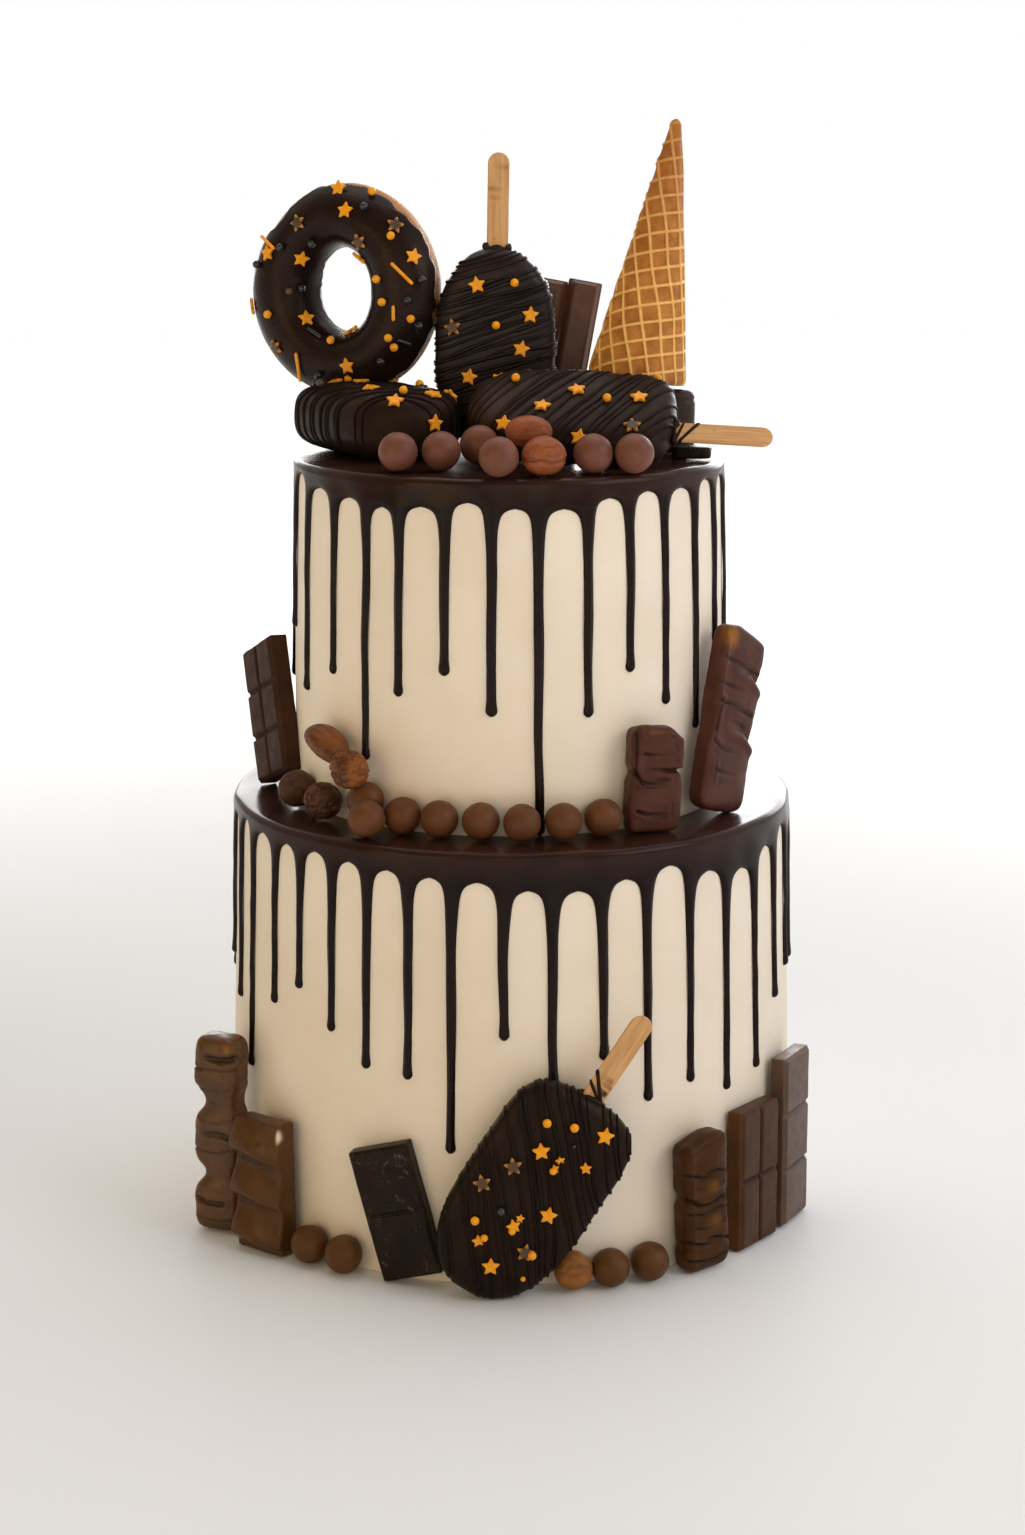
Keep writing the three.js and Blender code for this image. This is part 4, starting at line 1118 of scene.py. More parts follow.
# ------------------------------------------------------------------ slabs
def moulded_slab(w, t, h, relief, step=0.6, soft=0.9, taper=0.0):
    """Slab standing on z = 0, facing -y. relief(x, z) is how far the front stands out of its plane, in millimetres."""
    nx, nz = max(8, int(w / step)), max(8, int(h / step))
    x = np.linspace(-w / 2 + soft, w / 2 - soft, nx)
    z = np.linspace(soft, h - soft, nz)
    X, Z = np.meshgrid(x, z, indexing="ij")
    F = -t / 2 - relief(X, Z)
    front = np.stack([X, F, Z], -1)
    ring = [(i, 0) for i in range(nx)] + [(nx - 1, j) for j in range(1, nz)] + [(i, nz - 1) for i in range(nx - 2, -1, -1)] + [(0, j) for j in range(nz - 2, 0, -1)]
    ring = np.array(ring)
    rx, rz = X[ring[:, 0], ring[:, 1]], Z[ring[:, 0], ring[:, 1]]
    ry = F[ring[:, 0], ring[:, 1]]
    ox = np.where(ring[:, 0] == 0, -1.0, np.where(ring[:, 0] == nx - 1, 1.0, 0.0))
    oz = np.where(ring[:, 1] == 0, -1.0, np.where(ring[:, 1] == nz - 1, 1.0, 0.0))
    ln = np.maximum(np.hypot(ox, oz), 1)
    ox, oz = ox / ln, oz / ln
    rows = []
    back = t / 2
    for a in np.radians([22, 45, 68, 90]):
        rows.append(np.stack([rx + ox * soft * math.sin(a), ry + soft * (1 - math.cos(a)), rz + oz * soft * math.sin(a)], -1))
    edge_y = ry + soft
    for s in (0.25, 0.5, 0.75):
        rows.append(np.stack([rx + ox * soft, edge_y + (back - soft * 0.7 - edge_y) * s, rz + oz * soft], -1))
    for a in np.radians([0, 30, 60, 90]):
        rows.append(np.stack([rx + ox * (soft - soft * 0.7 * (1 - math.cos(a))), np.full(len(rx), back - soft * 0.7 * (1 - math.sin(a))), rz + oz * (soft - soft * 0.7 * (1 - math.cos(a)))], -1))
    nb = 10
    cx, cz = 0.0, h / 2
    for s in np.linspace(1, 0.08, nb)[1:]:
        last = rows[-1] if s == 1 else rows[10]
        rows.append(np.stack([cx + (last[:, 0] - cx) * s, np.full(len(rx), back), cz + (last[:, 2] - cz) * s], -1))
    v = [front.reshape(-1, 3)] + rows + [np.array([[cx, back, cz]])]
    faces = [grid(nx, nz)]
    n, base = len(rx), nx * nz
    first = ring[:, 0] * nz + ring[:, 1]
    j = np.arange(n)
    faces.append(np.stack([first, first[(j + 1) % n], base + (j + 1) % n, base + j], -1))
    g = grid(len(rows), n, close_v=True) + base
    faces.append(g[:, ::-1])
    last = base + (len(rows) - 1) * n
    centre = base + len(rows) * n
    faces.append(np.stack([last + j, last + (j + 1) % n, np.full(n, centre)], -1))
    part = Part(np.concatenate(v), faces)
    # one winding all over
    me = bpy.data.meshes.new("temporary")
    me.from_pydata(part.v.tolist(), [], [tuple(r) for f in part.faces for r in f.tolist()])
    bm = bmesh.new()
    bm.from_mesh(me)
    bmesh.ops.recalc_face_normals(bm, faces=bm.faces)
    quads, tris = [], []
    for fc in bm.faces:
        (quads if len(fc.verts) == 4 else tris).append([q.index for q in fc.verts])
    bm.free()
    bpy.data.meshes.remove(me)
    part.faces = [np.array(quads, np.int64)] + ([np.array(tris, np.int64)] if tris else [])
    return part


def blocks(w, h, cols, rows, groove, bevel, high, crown=0.25):
    """Relief of a moulded tablet."""
    bw, bh = w / cols, h / rows

    def relief(X, Z):
        dx = bw / 2 - groove / 2 - np.abs((X + w / 2) % bw - bw / 2)
        dz = bh / 2 - groove / 2 - np.abs(Z % bh - bh / 2)
        k = 0.35
        d = -np.log(np.exp(-np.clip(dx, -3, 6) / k) + np.exp(-np.clip(dz, -3, 6) / k)) * k
        body = smooth(np.clip(d / bevel, 0, 1)) * 0.55 + np.clip(d / bevel, 0, 1) * 0.45
        mid = np.clip(dx / (bw / 2), 0, 1) * np.clip(dz / (bh / 2), 0, 1)
        return high * body + crown * mid

    return relief


def tablet(w, t, h, cols, rows, m, node, seed, thin=None, groove=0.85, bevel=0.95, high=1.5):
    p = moulded_slab(w, t - high, h, blocks(w, h, cols, rows, groove, bevel, high), step=0.66, soft=0.5)
    p.v[:, 1] += high / 2
    p.v[:, 1] += 0.1 * noise3(p.v, 9.0, seed) + 0.04 * noise3(p.v, 2.4, seed)
    p.v[:, 0] += 0.14 * noise3(p.v, 14.0, seed + 1)
    # corners and edges a little knocked
    near = np.minimum(np.minimum(p.v[:, 0] + w / 2, w / 2 - p.v[:, 0]), np.minimum(p.v[:, 2], h - p.v[:, 2]))
    worn = smooth(1 - near / 1.2) * np.clip(noise3(p.v, 5.0, seed + 2), 0, 1)
    p.v[:, 1] += np.where(p.v[:, 1] < 0, 0.5, -0.3) * worn
    if thin:
        p.attrs["thin"] = thin(p.v)
    # painted shade: the grooves between the blocks are darkened on the front
    dx = np.abs((p.v[:, 0] + w / 2) % (w / cols) - w / cols / 2) - (w / cols / 2 - groove)
    dz = np.abs(p.v[:, 2] % (h / rows) - h / rows / 2) - (h / rows / 2 - groove)
    inner = (np.minimum(p.v[:, 0] + w / 2, w / 2 - p.v[:, 0]) > 2) & (np.minimum(p.v[:, 2], h - p.v[:, 2]) > 2)
    p.attrs["crack"] = 0.7 * smooth(np.maximum(dx, dz) / 0.8 + 0.5) * inner * (p.v[:, 1] < 0)
    return p.put(m, node)


tabs = {
    "tablet_mid": tablet(33.5, 9.0, 60.8, 2, 3, pose(-102.8, -14.2, 193, -62.8, 2.9, -22.8), "tablet_mid", 71),
    "tablet_low_a": tablet(28.7, 8, 62.2, 2, 2, pose(104.9, -81.2, 1, 51.6, 1, 0.8), "tablet_low_a", 72, thin=lambda v: 0.35 * smooth((-v[:, 0] - 13.3) / 0.7) * smooth((v[:, 1] + 3.2) / 1.2) * (0.65 + 0.35 * noise3(v, 6.0, 3))),
    "tablet_low_b": tablet(27, 7.6, 76.5, 1, 3, pose(123.3, -54.4, 1, 62, 1, 1.5), "tablet_low_b", 73),
}
for key, p in tabs.items():
    targets[key] = p
    make(key + "_moulded", p, {"tablet_low_b": M_TABLET_PALE, "tablet_mid": M_TABLET_MID}.get(key, M_TABLET), [key])
p = tablet(26.8, 7.6, 57.5, 1, 2, pose(-40.4, -124.2, 4, -17, 0.4, -15.7), "tablet_dark", 74, groove=0.8, bevel=0.7, high=1.0)
rand = np.random.RandomState(5)
scratch = np.zeros(len(p.v))
for i in range(13):
    x, z = (rand.uniform(0, 12), rand.uniform(30, 54)) if i < 9 else (rand.uniform(-11, 12), rand.uniform(4, 50))
    a, ln = rand.normal(-0.7, 0.5), rand.uniform(0.3, 1.5)
    dx, dz = p.local[:, 0] - x, p.local[:, 2] - z
    s = np.clip(dx * math.cos(a) + dz * math.sin(a), -ln, ln)
    d = np.hypot(dx - s * math.cos(a), dz - s * math.sin(a))
    scratch = np.maximum(scratch, smooth(1 - d / 0.5) * rand.uniform(0.15, 0.55) * (p.local[:, 1] < 0))
p.attrs["scratch"] = scratch
targets["tablet_dark"] = p
make("tablet_dark_moulded", p, M_DARK, ["tablet_dark"])


def finger_relief(X, Z):
    h = 73.0
    across = np.clip((7.55 - np.abs(X)) / 2.9, 0, 1)
    ends = np.clip(np.minimum(Z + 0.4, h - Z + 0.4) / 2.4, 0, 1)
    k = np.minimum(across, ends)
    return 3.7 * (0.5 * smooth(k) + 0.5 * k)


for key, x, h, seed in (("finger_right", 20.4, 72.5, 75), ("finger_left", 4.9, 73.4, 76)):
    p = moulded_slab(15.2, 4.9, h, lambda X, Z: finger_relief(X, Z * 73.0 / h), step=0.55, soft=0.5)
    p.v[:, 1] += 1.85 + 0.1 * noise3(p.v, 10.0, seed)
    p.v[:, 0] += 0.08 * noise3(p.v, 9.0, seed)
    p.put(pose(x, 38.6, 336, 0, 4.8, 10.3), key)
    make(key + "_wafer", p, M_FINGER, [key])


def boxy(w, t, h, e=0.35, n=72, m=54, groove=None, seed=0, dip=0.35):
    """Rounded lump of coated cake."""
    rings = []
    for s in 0.5 - 0.5 * np.cos(np.linspace(0.12, math.pi - 0.12, m)):
        k = (1 - abs(2 * s - 1) ** 8) ** (1 / 3)
        f = (0.8 + 0.2 * k) * k**0.1
        if groove:
            f -= groove[1] * math.exp(-(((s - groove[0]) * h / 0.8) ** 2))
        rings.append(superring(w / 2 * f, t / 2 * f, (s - 0.5) * h, n, e))
    p = loft(rings, np.array([0, 0, -h / 2]), np.array([0, 0, h / 2]))
    return swell(p, dip * noise3(p.v, 9.0, seed) + 0.12 * noise3(p.v, 3.0, seed + 1) - dip * 0.4)


p = boxy(40, 30, 27.6, groove=(0.83, 0.02), seed=77).put(pose(60.2, 16.5, 350, 4), "coated_block")
make("block_coated", p, M_BLOCK, ["coated_block"])
p = boxy(17.5, 12, 5.6, m=30, n=56, seed=78, dip=0.3).put(pose(77.6, -17, 338, -8), "flat_piece")
make("piece_flat", p, M_DARK, ["flat_piece"])


# ------------------------------------------------------------------ coated bars
def polyline(v, points):
    """Distance in the front plane from a line through points, and how far along it."""
    best = np.full(len(v), 1e9)
    for (x0, z0), (x1, z1) in zip(points[:-1], points[1:]):
        ex, ez = x1 - x0, z1 - z0
        t = np.clip(((v[:, 0] - x0) * ex + (v[:, 2] - z0) * ez) / (ex * ex + ez * ez), 0, 1)
        best = np.minimum(best, np.hypot(v[:, 0] - x0 - t * ex, v[:, 2] - z0 - t * ez))
    return best


def bar(w, t, h, waists, m, node, seed, cracks=(), folds=(), e=0.42, humps=(), thin=None, cut=None, steps=(), chip=None):
    """waists: (place 0..1, depth, spread[, side]); cracks: (points, depth, width); folds: (points, width, height), a
    ridge with flat flanks; humps: (x, z, width, length, swell); steps: (z at the right edge, slope, height, length);
    cut: how far the top falls at a place. All in millimetres."""
    n, rows = 84, 100
    s = 0.5 - 0.5 * np.cos(np.linspace(0.05, math.pi - 0.05, rows))
    s = 0.3 * s + 0.7 * np.linspace(0.004, 0.996, rows)
    rings = []
    for x in s:
        end = (1 - abs(2 * x - 1) ** 18) ** (1 / 3.2)
        ring = superring(w / 2 * end, t / 2 * end, x * h, n, e)
        k = np.ones(n)
        for wa in waists:
            at, depth, spread = wa[:3]
            side = wa[3] if len(wa) > 3 else 0
            mask = 1.0 if side == 0 else smooth(0.5 + side * ring[:, 0] / w * 1.6)
            k = k - depth * np.exp(-((np.abs(x - at) / spread) ** 2.4)) * mask
        ring[:, 0] *= k
        ring[:, 1] *= 0.55 + 0.45 * k
        rings.append(ring)
    p = loft(rings, np.array([0, 0, 0]), np.array([0, 0, h]))
    v = p.v
    front = smooth((0.12 * t - v[:, 1]) / (0.35 * t))
    d = 0.35 * noise3(v, 8.0, seed) + 0.14 * noise3(v, 3.0, seed + 1) - 0.15
    # painted shade: the cracks are darkened in colour as well as dented
    crack = np.zeros(len(v))
    wob = v + np.stack([0.5 * noise3(v, 4.0, seed + 2), 0 * v[:, 0], 0.6 * noise3(v, 4.5, seed + 3)], -1)
    for points, depth, width in cracks:
        dist = polyline(wob, points)
        k = np.exp(-((dist / width) ** 2)) * front
        lip = np.exp(-(((dist - 1.9 * width) / (1.3 * width)) ** 2)) * front
        d = d - depth * k + 0.3 * depth * lip
        crack = np.maximum(crack, k * min(1, 0.35 + 0.6 * depth))
    for points, width, height in folds:
        d = d + height * np.clip(1 - polyline(v, points) / width, 0, 1) * front
    for z0, slope, height, length in steps:
        g = v[:, 2] - (z0 + slope * (v[:, 0] - w / 2))
        k = smooth((g + 0.8) / 1.6) * np.exp(-np.clip(g, 0, None) / length) - 0.35 * np.exp(-((g + 1.6) / 2.4) ** 2)
        d = d - height * k * smooth((v[:, 0] + 0.12 * w) / (0.3 * w))
    for hx, hz, wx, wz, amount in humps:
        d = d + amount * np.exp(-(((v[:, 0] - hx) / wx) ** 2) - ((v[:, 2] - hz) / wz) ** 2) * front
    local = v.copy()
    swell(p, d)
    if cut:
        p.v[:, 2] -= cut(local) * smooth((local[:, 2] - h * 0.75) / (h * 0.25))
    p.attrs["crack"] = crack
    # caramel places and painted highlights on ridges and humps
    p.attrs["thin"] = thin(local) if thin else np.zeros(len(v))
    # a small pale cream-coloured spot
    p.attrs["chip"] = chip(local) if chip else np.zeros(len(v))
    return p.put(m, node)


def spot(x, z, r, k):
    return lambda v: k * smooth(1.2 - np.hypot(v[:, 0] - x, v[:, 2] - z) / r) * (v[:, 1] < 0.5)


p = bar(
    23.8, 10.5, 45, [(0.56, 0.11, 0.06), (0.1, 0.05, 0.06)], pose(58, -87.2, 187, 20.8, 0.9, 3), "bar_mid_small", 81,
    cracks=[
        ([(-6.8, 34), (-2, 32.6), (2.2, 31.5)], 1.1, 0.6),
        ([(2.5, 26.6), (10.8, 26)], 1.7, 0.85),
        ([(-10, 26.5), (-8, 22.6), (-1.5, 21)], 1.5, 0.75),
        ([(-8, 21.8), (-0.5, 18.6), (5, 24)], 1.0, 0.5),
        ([(-8.6, 10), (-3, 7.4), (1.5, 5.8)], 1.3, 0.75), ([(-10.6, 42), (-10.2, 26)], 0.7, 0.5),
        ([(6, 41), (8, 35)], 0.45, 0.35), ([(4.5, 12), (4.5, 5.5)], 0.4, 0.35), ([(7.2, 13), (7.4, 6)], 0.4, 0.35),
    ],
    folds=[([(-5.2, 43.5), (3, 37.8), (0.8, 19.3)], 5.5, 1.7), ([(-8.8, 44), (-8.8, 21)], 2.4, 0.9)],
    humps=[(2, 13, 6, 6, 0.8), (8, 33, 4, 5, 0.5)], cut=lambda v: 3.2 * smooth((v[:, 0] - 5) / 6), e=0.3,
    # a small lighter spot, and a painted highlight along the fold's ridge
    thin=lambda v: np.maximum(spot(1.2, 27, 1.3, 0.6)(v), 0.35 * np.exp(-((polyline(v, [(-4.5, 43), (3, 37.8)]) / 0.8) ** 2)) * (v[:, 1] < 0)),
)
make("bar_small_coated", p, M_BAR, ["bar_mid_small"])
p = bar(
    31.5, 9.4, 78.5, [(0.45, 0.03, 0.08, -1)], pose(86.2, -61.4, 191, 49.8, 2.6, 17), "bar_mid_big", 83,
    cracks=[
        ([(-14, 64.5), (-4, 63.2), (13, 61.5)], 0.9, 0.7), ([(-14, 54), (-4, 52.6)], 0.8, 0.7),
        ([(-13, 46.5), (-3, 46), (11, 43)], 1.2, 0.75), ([(-3, 40), (8, 37.5)], 0.8, 0.65), ([(-13, 30), (-8, 26.5), (-1, 25.5)], 0.9, 0.7), ([(-10, 17.5), (2, 15.5)], 1.0, 0.7),
        ([(-12.5, 47), (-13, 34)], 0.8, 0.7), ([(-6, 24), (-5.6, 12)], 0.35, 0.4), ([(-10.6, 22), (-10.4, 12)], 0.35, 0.4),
    ],
    folds=[([(-3.2, 66), (-3.2, 33)], 3.4, 1.5), ([(-13.4, 72), (-13.4, 36)], 2.0, 0.6)],
    steps=[(29.4, -0.55, 2.6, 7.5), (54.2, -0.55, 2.8, 8.0)],
    humps=[(6, 68, 7, 5, 0.8), (4, 14, 9, 8, 0.7)], cut=lambda v: 3.4 * smooth((v[:, 0] + 6) / 20) - 1.6, e=0.32,
    # the caramel patch at the top left, and a painted highlight along the fold's ridge
    thin=lambda v: np.maximum(spot(-11.5, 73, 5.6, 0.9)(v), 0.45 * np.exp(-((polyline(v, [(-3.2, 44), (-3.2, 35)]) / 0.7) ** 2)) * (v[:, 1] < 0)),
)
make("bar_big_coated", p, M_BAR, ["bar_mid_big"])
p = bar(
    21.5, 15, 89.5, [(0.3, 0.2, 0.052), (0.3, 0.25, 0.056, -1), (0.665, 0.16, 0.058), (0.665, 0.26, 0.064, -1)], pose(-127.8, -65.2, 1, -21.8, 1.6, 0.7), "bar_tall", 85,
    cracks=[
        ([(-11, 75.2), (0, 74.2), (10, 75.4)], 0.9, 0.5), ([(-3.5, 80.4), (3, 79), (9, 81)], 1.7, 1.3),
        ([(-9, 66), (0, 64.5), (8, 66.5)], 0.6, 0.5), ([(-8, 52), (2, 50), (9, 53)], 0.5, 0.45),
        ([(-4, 45.4), (2, 45.8), (8, 44.6)], 1.5, 1.0), ([(-10, 38), (0, 36.6), (8, 39)], 0.8, 0.6),
        ([(-7.5, 15), (-1, 13.2), (4, 14.4)], 1.6, 1.0), ([(-9, 7), (0, 5.6), (9, 7)], 0.6, 0.5), ([(-2, 60), (1, 52)], 0.6, 0.5),
    ],
    folds=[([(-8, 70), (8, 69)], 6, 0.8), ([(-8, 41), (8, 42)], 6, 0.8)],
    humps=[(-3, 83, 5, 4, 0.6), (-3, 50, 6, 4, 0.6), (-2, 20, 6, 5, 0.8), (6, 84, 3, 4, 0.8)],
    # here the lighter spots are painted highlights near two humps
    thin=lambda v: np.maximum(spot(5.5, 85, 2.6, 0.6)(v), spot(-8.4, 50, 1.6, 0.5)(v)),
)
make("bar_tall_coated", p, M_BAR_MILK, ["bar_tall"])
p = bar(
    23.6, 12, 61.5, [(0.55, 0.11, 0.05), (0.37, 0.06, 0.045, 1), (0.2, 0.04, 0.04)], pose(81.2, -107.4, 1, 35.1, -0.5, -3.3), "bar_low", 87,
    cracks=[
        ([(-11, 46), (-3, 43.6), (4, 45), (11, 42.6)], 1.1, 0.65), ([(-11, 35), (-4, 31), (3, 29.6), (11, 33.2)], 1.4, 0.8),
        ([(-11, 28.5), (-2, 26), (6, 27.6), (11, 26)], 0.9, 0.6), ([(-11, 15.6), (-3, 12.6), (3, 14.6), (11, 12)], 1.3, 0.75),
        ([(-11, 7.6), (0, 4.6), (11, 7)], 1.1, 0.6), ([(-8, 22), (0, 19.6), (8, 21.4)], 0.6, 0.5), ([(-7, 39.6), (1, 37.4), (8, 39)], 0.5, 0.5),
    ],
    folds=[([(-9, 57), (9, 58)], 5, 0.7), ([(-8.6, 60), (-8.6, 4)], 2.2, 0.7)],
    humps=[(3, 50, 7, 4, 1.1), (3, 37, 7, 3, 0.8), (2, 21, 8, 4, 1.1), (1, 9, 7, 2.5, 0.6)],
    # here the lighter spots are painted highlights on two humps
    cut=lambda v: 2.6 * smooth((-v[:, 0] + 2) / 10), thin=lambda v: np.maximum(spot(3, 38, 3.4, 0.4)(v), spot(3, 22, 4.0, 0.35)(v)),
)
make("bar_low_coated", p, M_BAR_LOW, ["bar_low"])


def lobes(X, Z):
    """0..1 over three rounded lobes, each fullest near its lower edge."""
    s = (Z + 0.09 * X + 0.9 * np.sin(X / 5.0)) / 59.0
    phase = (s * 3 - 0.03) % 1.0
    return np.minimum(smooth(phase / 0.3), 1) * (1 - 0.95 * smooth((phase - 0.26) / 0.74))


def wave_relief(X, Z):
    ends = smooth(np.minimum(Z, 59 - Z) / 4.0)
    crown = 1 - 0.3 * (np.abs(X) / 13) ** 3
    fade = 1 - 0.4 * smooth((X + 2) / 14)
    return (4.7 * lobes(X, Z) * fade + 0.3) * crown * (0.35 + 0.65 * ends)


p = moulded_slab(26, 9.2, 59, wave_relief, step=0.66, soft=1.5)
p.v[:, 1] += 0.9 + 0.25 * noise3(p.v, 9.0, 91) + 0.08 * noise3(p.v, 3.0, 92)
p.v[:, 0] += 0.3 * noise3(p.v, 12.0, 93) - 1.3 * (lobes(p.v[:, 0], p.v[:, 2]) - 0.4) * smooth((-p.v[:, 0] - 7) / 5) * smooth(np.minimum(p.v[:, 2], 59 - p.v[:, 2]) / 5)
# painted shade: a dark spot, and dark lines in the grooves under the lobes that fade to the right
p.attrs["crack"] = 0.8 * np.exp(-(((p.v[:, 0] - 3) / 1.8) ** 2) - ((p.v[:, 2] - 50) / 0.9) ** 2) * (p.v[:, 1] < 0)
grooves = (p.v[:, 2] + 0.09 * p.v[:, 0] + 0.9 * np.sin(p.v[:, 0] / 5.0)) / 59.0 * 3 - 0.03
grooves = np.exp(-(((np.abs((grooves + 0.5) % 1.0 - 0.5) - 0.02) / 0.05) ** 2)) * smooth((p.v[:, 2] - 8) / 4) * smooth((52 - p.v[:, 2]) / 4)
p.attrs["crack"] = np.maximum(p.attrs["crack"], 0.55 * grooves * (1 - 0.8 * smooth((p.v[:, 0] - 1) / 8)) * (p.v[:, 1] < 0))
# a small pale cream-coloured spot near the top right
p.attrs["chip"] = 0.9 * smooth(1.35 - np.hypot((p.v[:, 0] - 11.9) / 1.2, (p.v[:, 2] - 54.4) / 2.9)) * smooth((-p.v[:, 1] - 2.0) / 1.5)
p.put(pose(-106.2, -89.2, 1, -35.4, 0.6, -0.7), "bar_wave")
targets["bar_wave"] = p
make("bar_wave_moulded", p, M_WAVE, ["bar_wave"])


# ------------------------------------------------------------------ balls and nuts
def ball(node, r, seed):
    lo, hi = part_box(node)
    c = np.array([(lo.x + hi.x) / 2, (lo.y + hi.y) / 2, (lo.z + hi.z) / 2]) * 1000
    n, rows = 40, 22
    th = np.linspace(0.05, math.pi - 0.05, rows)
    rings = [superring(r * math.sin(t), r * math.sin(t), -r * math.cos(t), n, 1.0) for t in th]
    p = loft(rings, np.array([0, 0, -r]), np.array([0, 0, r]))
    swell(p, 0.16 * noise3(p.v, 6.0, seed) + 0.06 * noise3(p.v, 2.2, seed + 1) - 0.05)
    rand = np.random.RandomState(seed)
    q = Matrix.Rotation(rand.uniform(0, TAU), 4, Vector(rand.normal(size=3)).normalized())
    m = np.array(q)
    m[:3, 3] = c
    return p.put(m)


top_nodes = [f"ball_top_{i}" for i in range(1, 7)]
mid_nodes = [f"ball_mid_{i}" for i in range(1, 9)]
low_nodes = [f"ball_low_{i}" for i in range(1, 5)]
tops = [ball(k, 8.2, 200 + i) for i, k in enumerate(top_nodes)]
mids = [ball(k, 7.9, 220 + i) for i, k in enumerate(mid_nodes)]
lows = [ball(k, 8.2, 240 + i) for i, k in enumerate(low_nodes)]
# the top and low balls take lighter and darker copies of one colour: painted light and shade
make("balls_top", tops, M_MILK_TOP, top_nodes)
make("balls_middle", mids, M_MILK, mid_nodes)
make("balls_low", lows, M_MILK_LOW, low_nodes)


def nut(axes, m, node, seed, depth=0.7, stretch=4.5, bend=0.0, crease=0.0, glow=None, lines=0, lobes=0.0):
    """lines: fine furrows that run lengthwise; lobes: how strongly the kernel is wrinkled, in millimetres."""
    n, rows = 72, 46
    th = np.linspace(0.04, math.pi - 0.04, rows)
    a = (np.arange(n) + 0.5) / n * TAU
    rings = [np.stack([np.full(n, -math.cos(t)), math.sin(t) * np.cos(a), math.sin(t) * np.sin(a)], -1) for t in th]
    p = loft(rings, np.array([-1.0, 0, 0]), np.array([1.0, 0, 0]))
    u = p.v.copy()
    v = u * np.array(axes)
    v[:, 2] += bend * (u[:, 0] ** 2 - 0.4)
    p.v = v
    d = 0.3 * noise3(v, 7.0, seed + 5)
    furrow = np.zeros(len(v))
    if depth:
        size = (3.0 * stretch / 2, 3.0, 3.0)
        wr = np.abs(fbm(v, size, seed, 3))
        furrow = smooth(1 - wr / 0.16)
        d = d - depth * furrow
    if lines:
        turn = (np.arctan2(u[:, 2], u[:, 1]) / TAU) * lines + 0.55 * noise3(v, (9.0, 6.0, 6.0), seed + 7)
        k = smooth(1 - np.abs((turn + 0.5) % 1 - 0.5) / 0.11) * smooth((0.97 - np.abs(u[:, 0])) / 0.25)
        k = k * smooth(0.75 + noise3(v, 4.0, seed + 8))
        d = d - 0.28 * k
        furrow = np.maximum(furrow, 0.6 * k)
    if lobes:
        d = d + lobes * fbm(v, 4.2, seed + 9, 2)
    if crease:
        k = np.exp(-((u[:, 2] + 0.15 + 0.2 * noise3(v, 5.0, seed)) / 0.09) ** 2) * (u[:, 1] < 0.2)
        d = d - crease * k
        furrow = np.maximum(furrow, k)
    swell(p, d)
    # furrow is painted shade in the furrows, lines and crease, which are also dented
    p.attrs["furrow"] = np.clip(furrow * 0.8, 0, 1)
    # painted highlight: where light catches the nut, a lighter orange band or end
    p.attrs["glow"] = glow(u) if glow else np.zeros(len(u))
    return p.put(m, node)


nuts = [
    nut([9.3, 8.2, 8.0], pose(13.2, -84.8, 342.4, 20), "nut_top_1", 301, 0, lines=8, crease=0.3),
    nut([9.8, 7.6, 6.6], pose(7.2, -66.4, 350.2, -10), "nut_top_2", 302, 0, lines=7),
]
make("nuts_top", nuts, M_NUT, ["nut_top_1", "nut_top_2"])
nuts = [
    # painted highlights: an orange band along the top of the long nut, and the right end of the other
    nut([13.0, 7.2, 6.8], pose(-77.6, -70.6, 219, -46) @ rot("y", 22), "nut_mid_1", 303, 0.25, 7, bend=-1.8, lines=6, glow=lambda u: 0.5 * np.exp(-((u[:, 2] - 0.7) / 0.32) ** 2) * smooth((u[:, 0] + 0.5) / 0.8)),
    nut([9.2, 6.8, 8.4], pose(-67.6, -87.2, 212.6, -42), "nut_mid_2", 304, 0.9, 3, crease=0.8, lobes=0.9, glow=lambda u: 0.5 * smooth((u[:, 0] - 0.35) / 0.3)),
]
make("nuts_middle_long", nuts, M_NUT_LIGHT, ["nut_mid_1", "nut_mid_2"])
nuts = [
    nut([8.2, 8.0, 8.1], pose(-79.8, -68.4, 194.5, 10), "nut_mid_3", 305, 0.8, 3, crease=0.5),
    nut([8.0, 7.8, 8.4], pose(-92.6, -46, 194.9, 40) @ rot("y", 70), "nut_mid_4", 306, 0.35, 8, lines=6),
]
make("nuts_middle_round", nuts, M_NUT_COATED, ["nut_mid_3", "nut_mid_4"])
make("nut_golden", nut([8.1, 7.8, 8.1], pose(25.6, -131.2, 8.5), "nut_low", 307, 0, lines=5), M_NUT_GOLD, ["nut_low"])


# ------------------------------------------------------------------ sprinkles
def star(r=4.25, thick=1.5):
    """Flat five-pointed sugar star with soft edges in the xy plane, its underside at z = 0."""
    n = 60
    a = np.arange(n) / n * TAU
    k = np.abs((a / TAU * 5 + 0.5) % 1 - 0.5) * 2  # 0 at a point, 1 in a notch
    phi, inner = k * math.pi / 5, 0.5 * r
    out = r * inner * math.sin(math.pi / 5) / (r * np.sin(phi) + inner * np.sin(math.pi / 5 - phi))
    out = np.minimum(out, r * 0.93)
    rings = []
    for q, z in ((0.92, 0.0), (0.99, 0.22), (1.0, 0.5), (0.96, 0.8), (0.86, 0.97), (0.6, 1.0), (0.3, 0.97)):
        rings.append(np.stack([out * q * np.sin(a), out * q * np.cos(a), np.full(n, thick * z)], -1))
    p = loft(rings, np.array([0, 0, 0]), np.array([0, 0, thick * 0.96]))
    p.attrs["tip"] = smooth((np.hypot(p.v[:, 0], p.v[:, 1]) / r - 0.5) / 0.22)
    return p


def pearl(r=1.85):
    th = np.linspace(0.2, math.pi - 0.2, 10)
    rings = [superring(r * math.sin(t), r * math.sin(t), r - r * math.cos(t), 16, 1.0) for t in th]
    return loft(rings, np.array([0, 0, 0]), np.array([0, 0, 2 * r]))


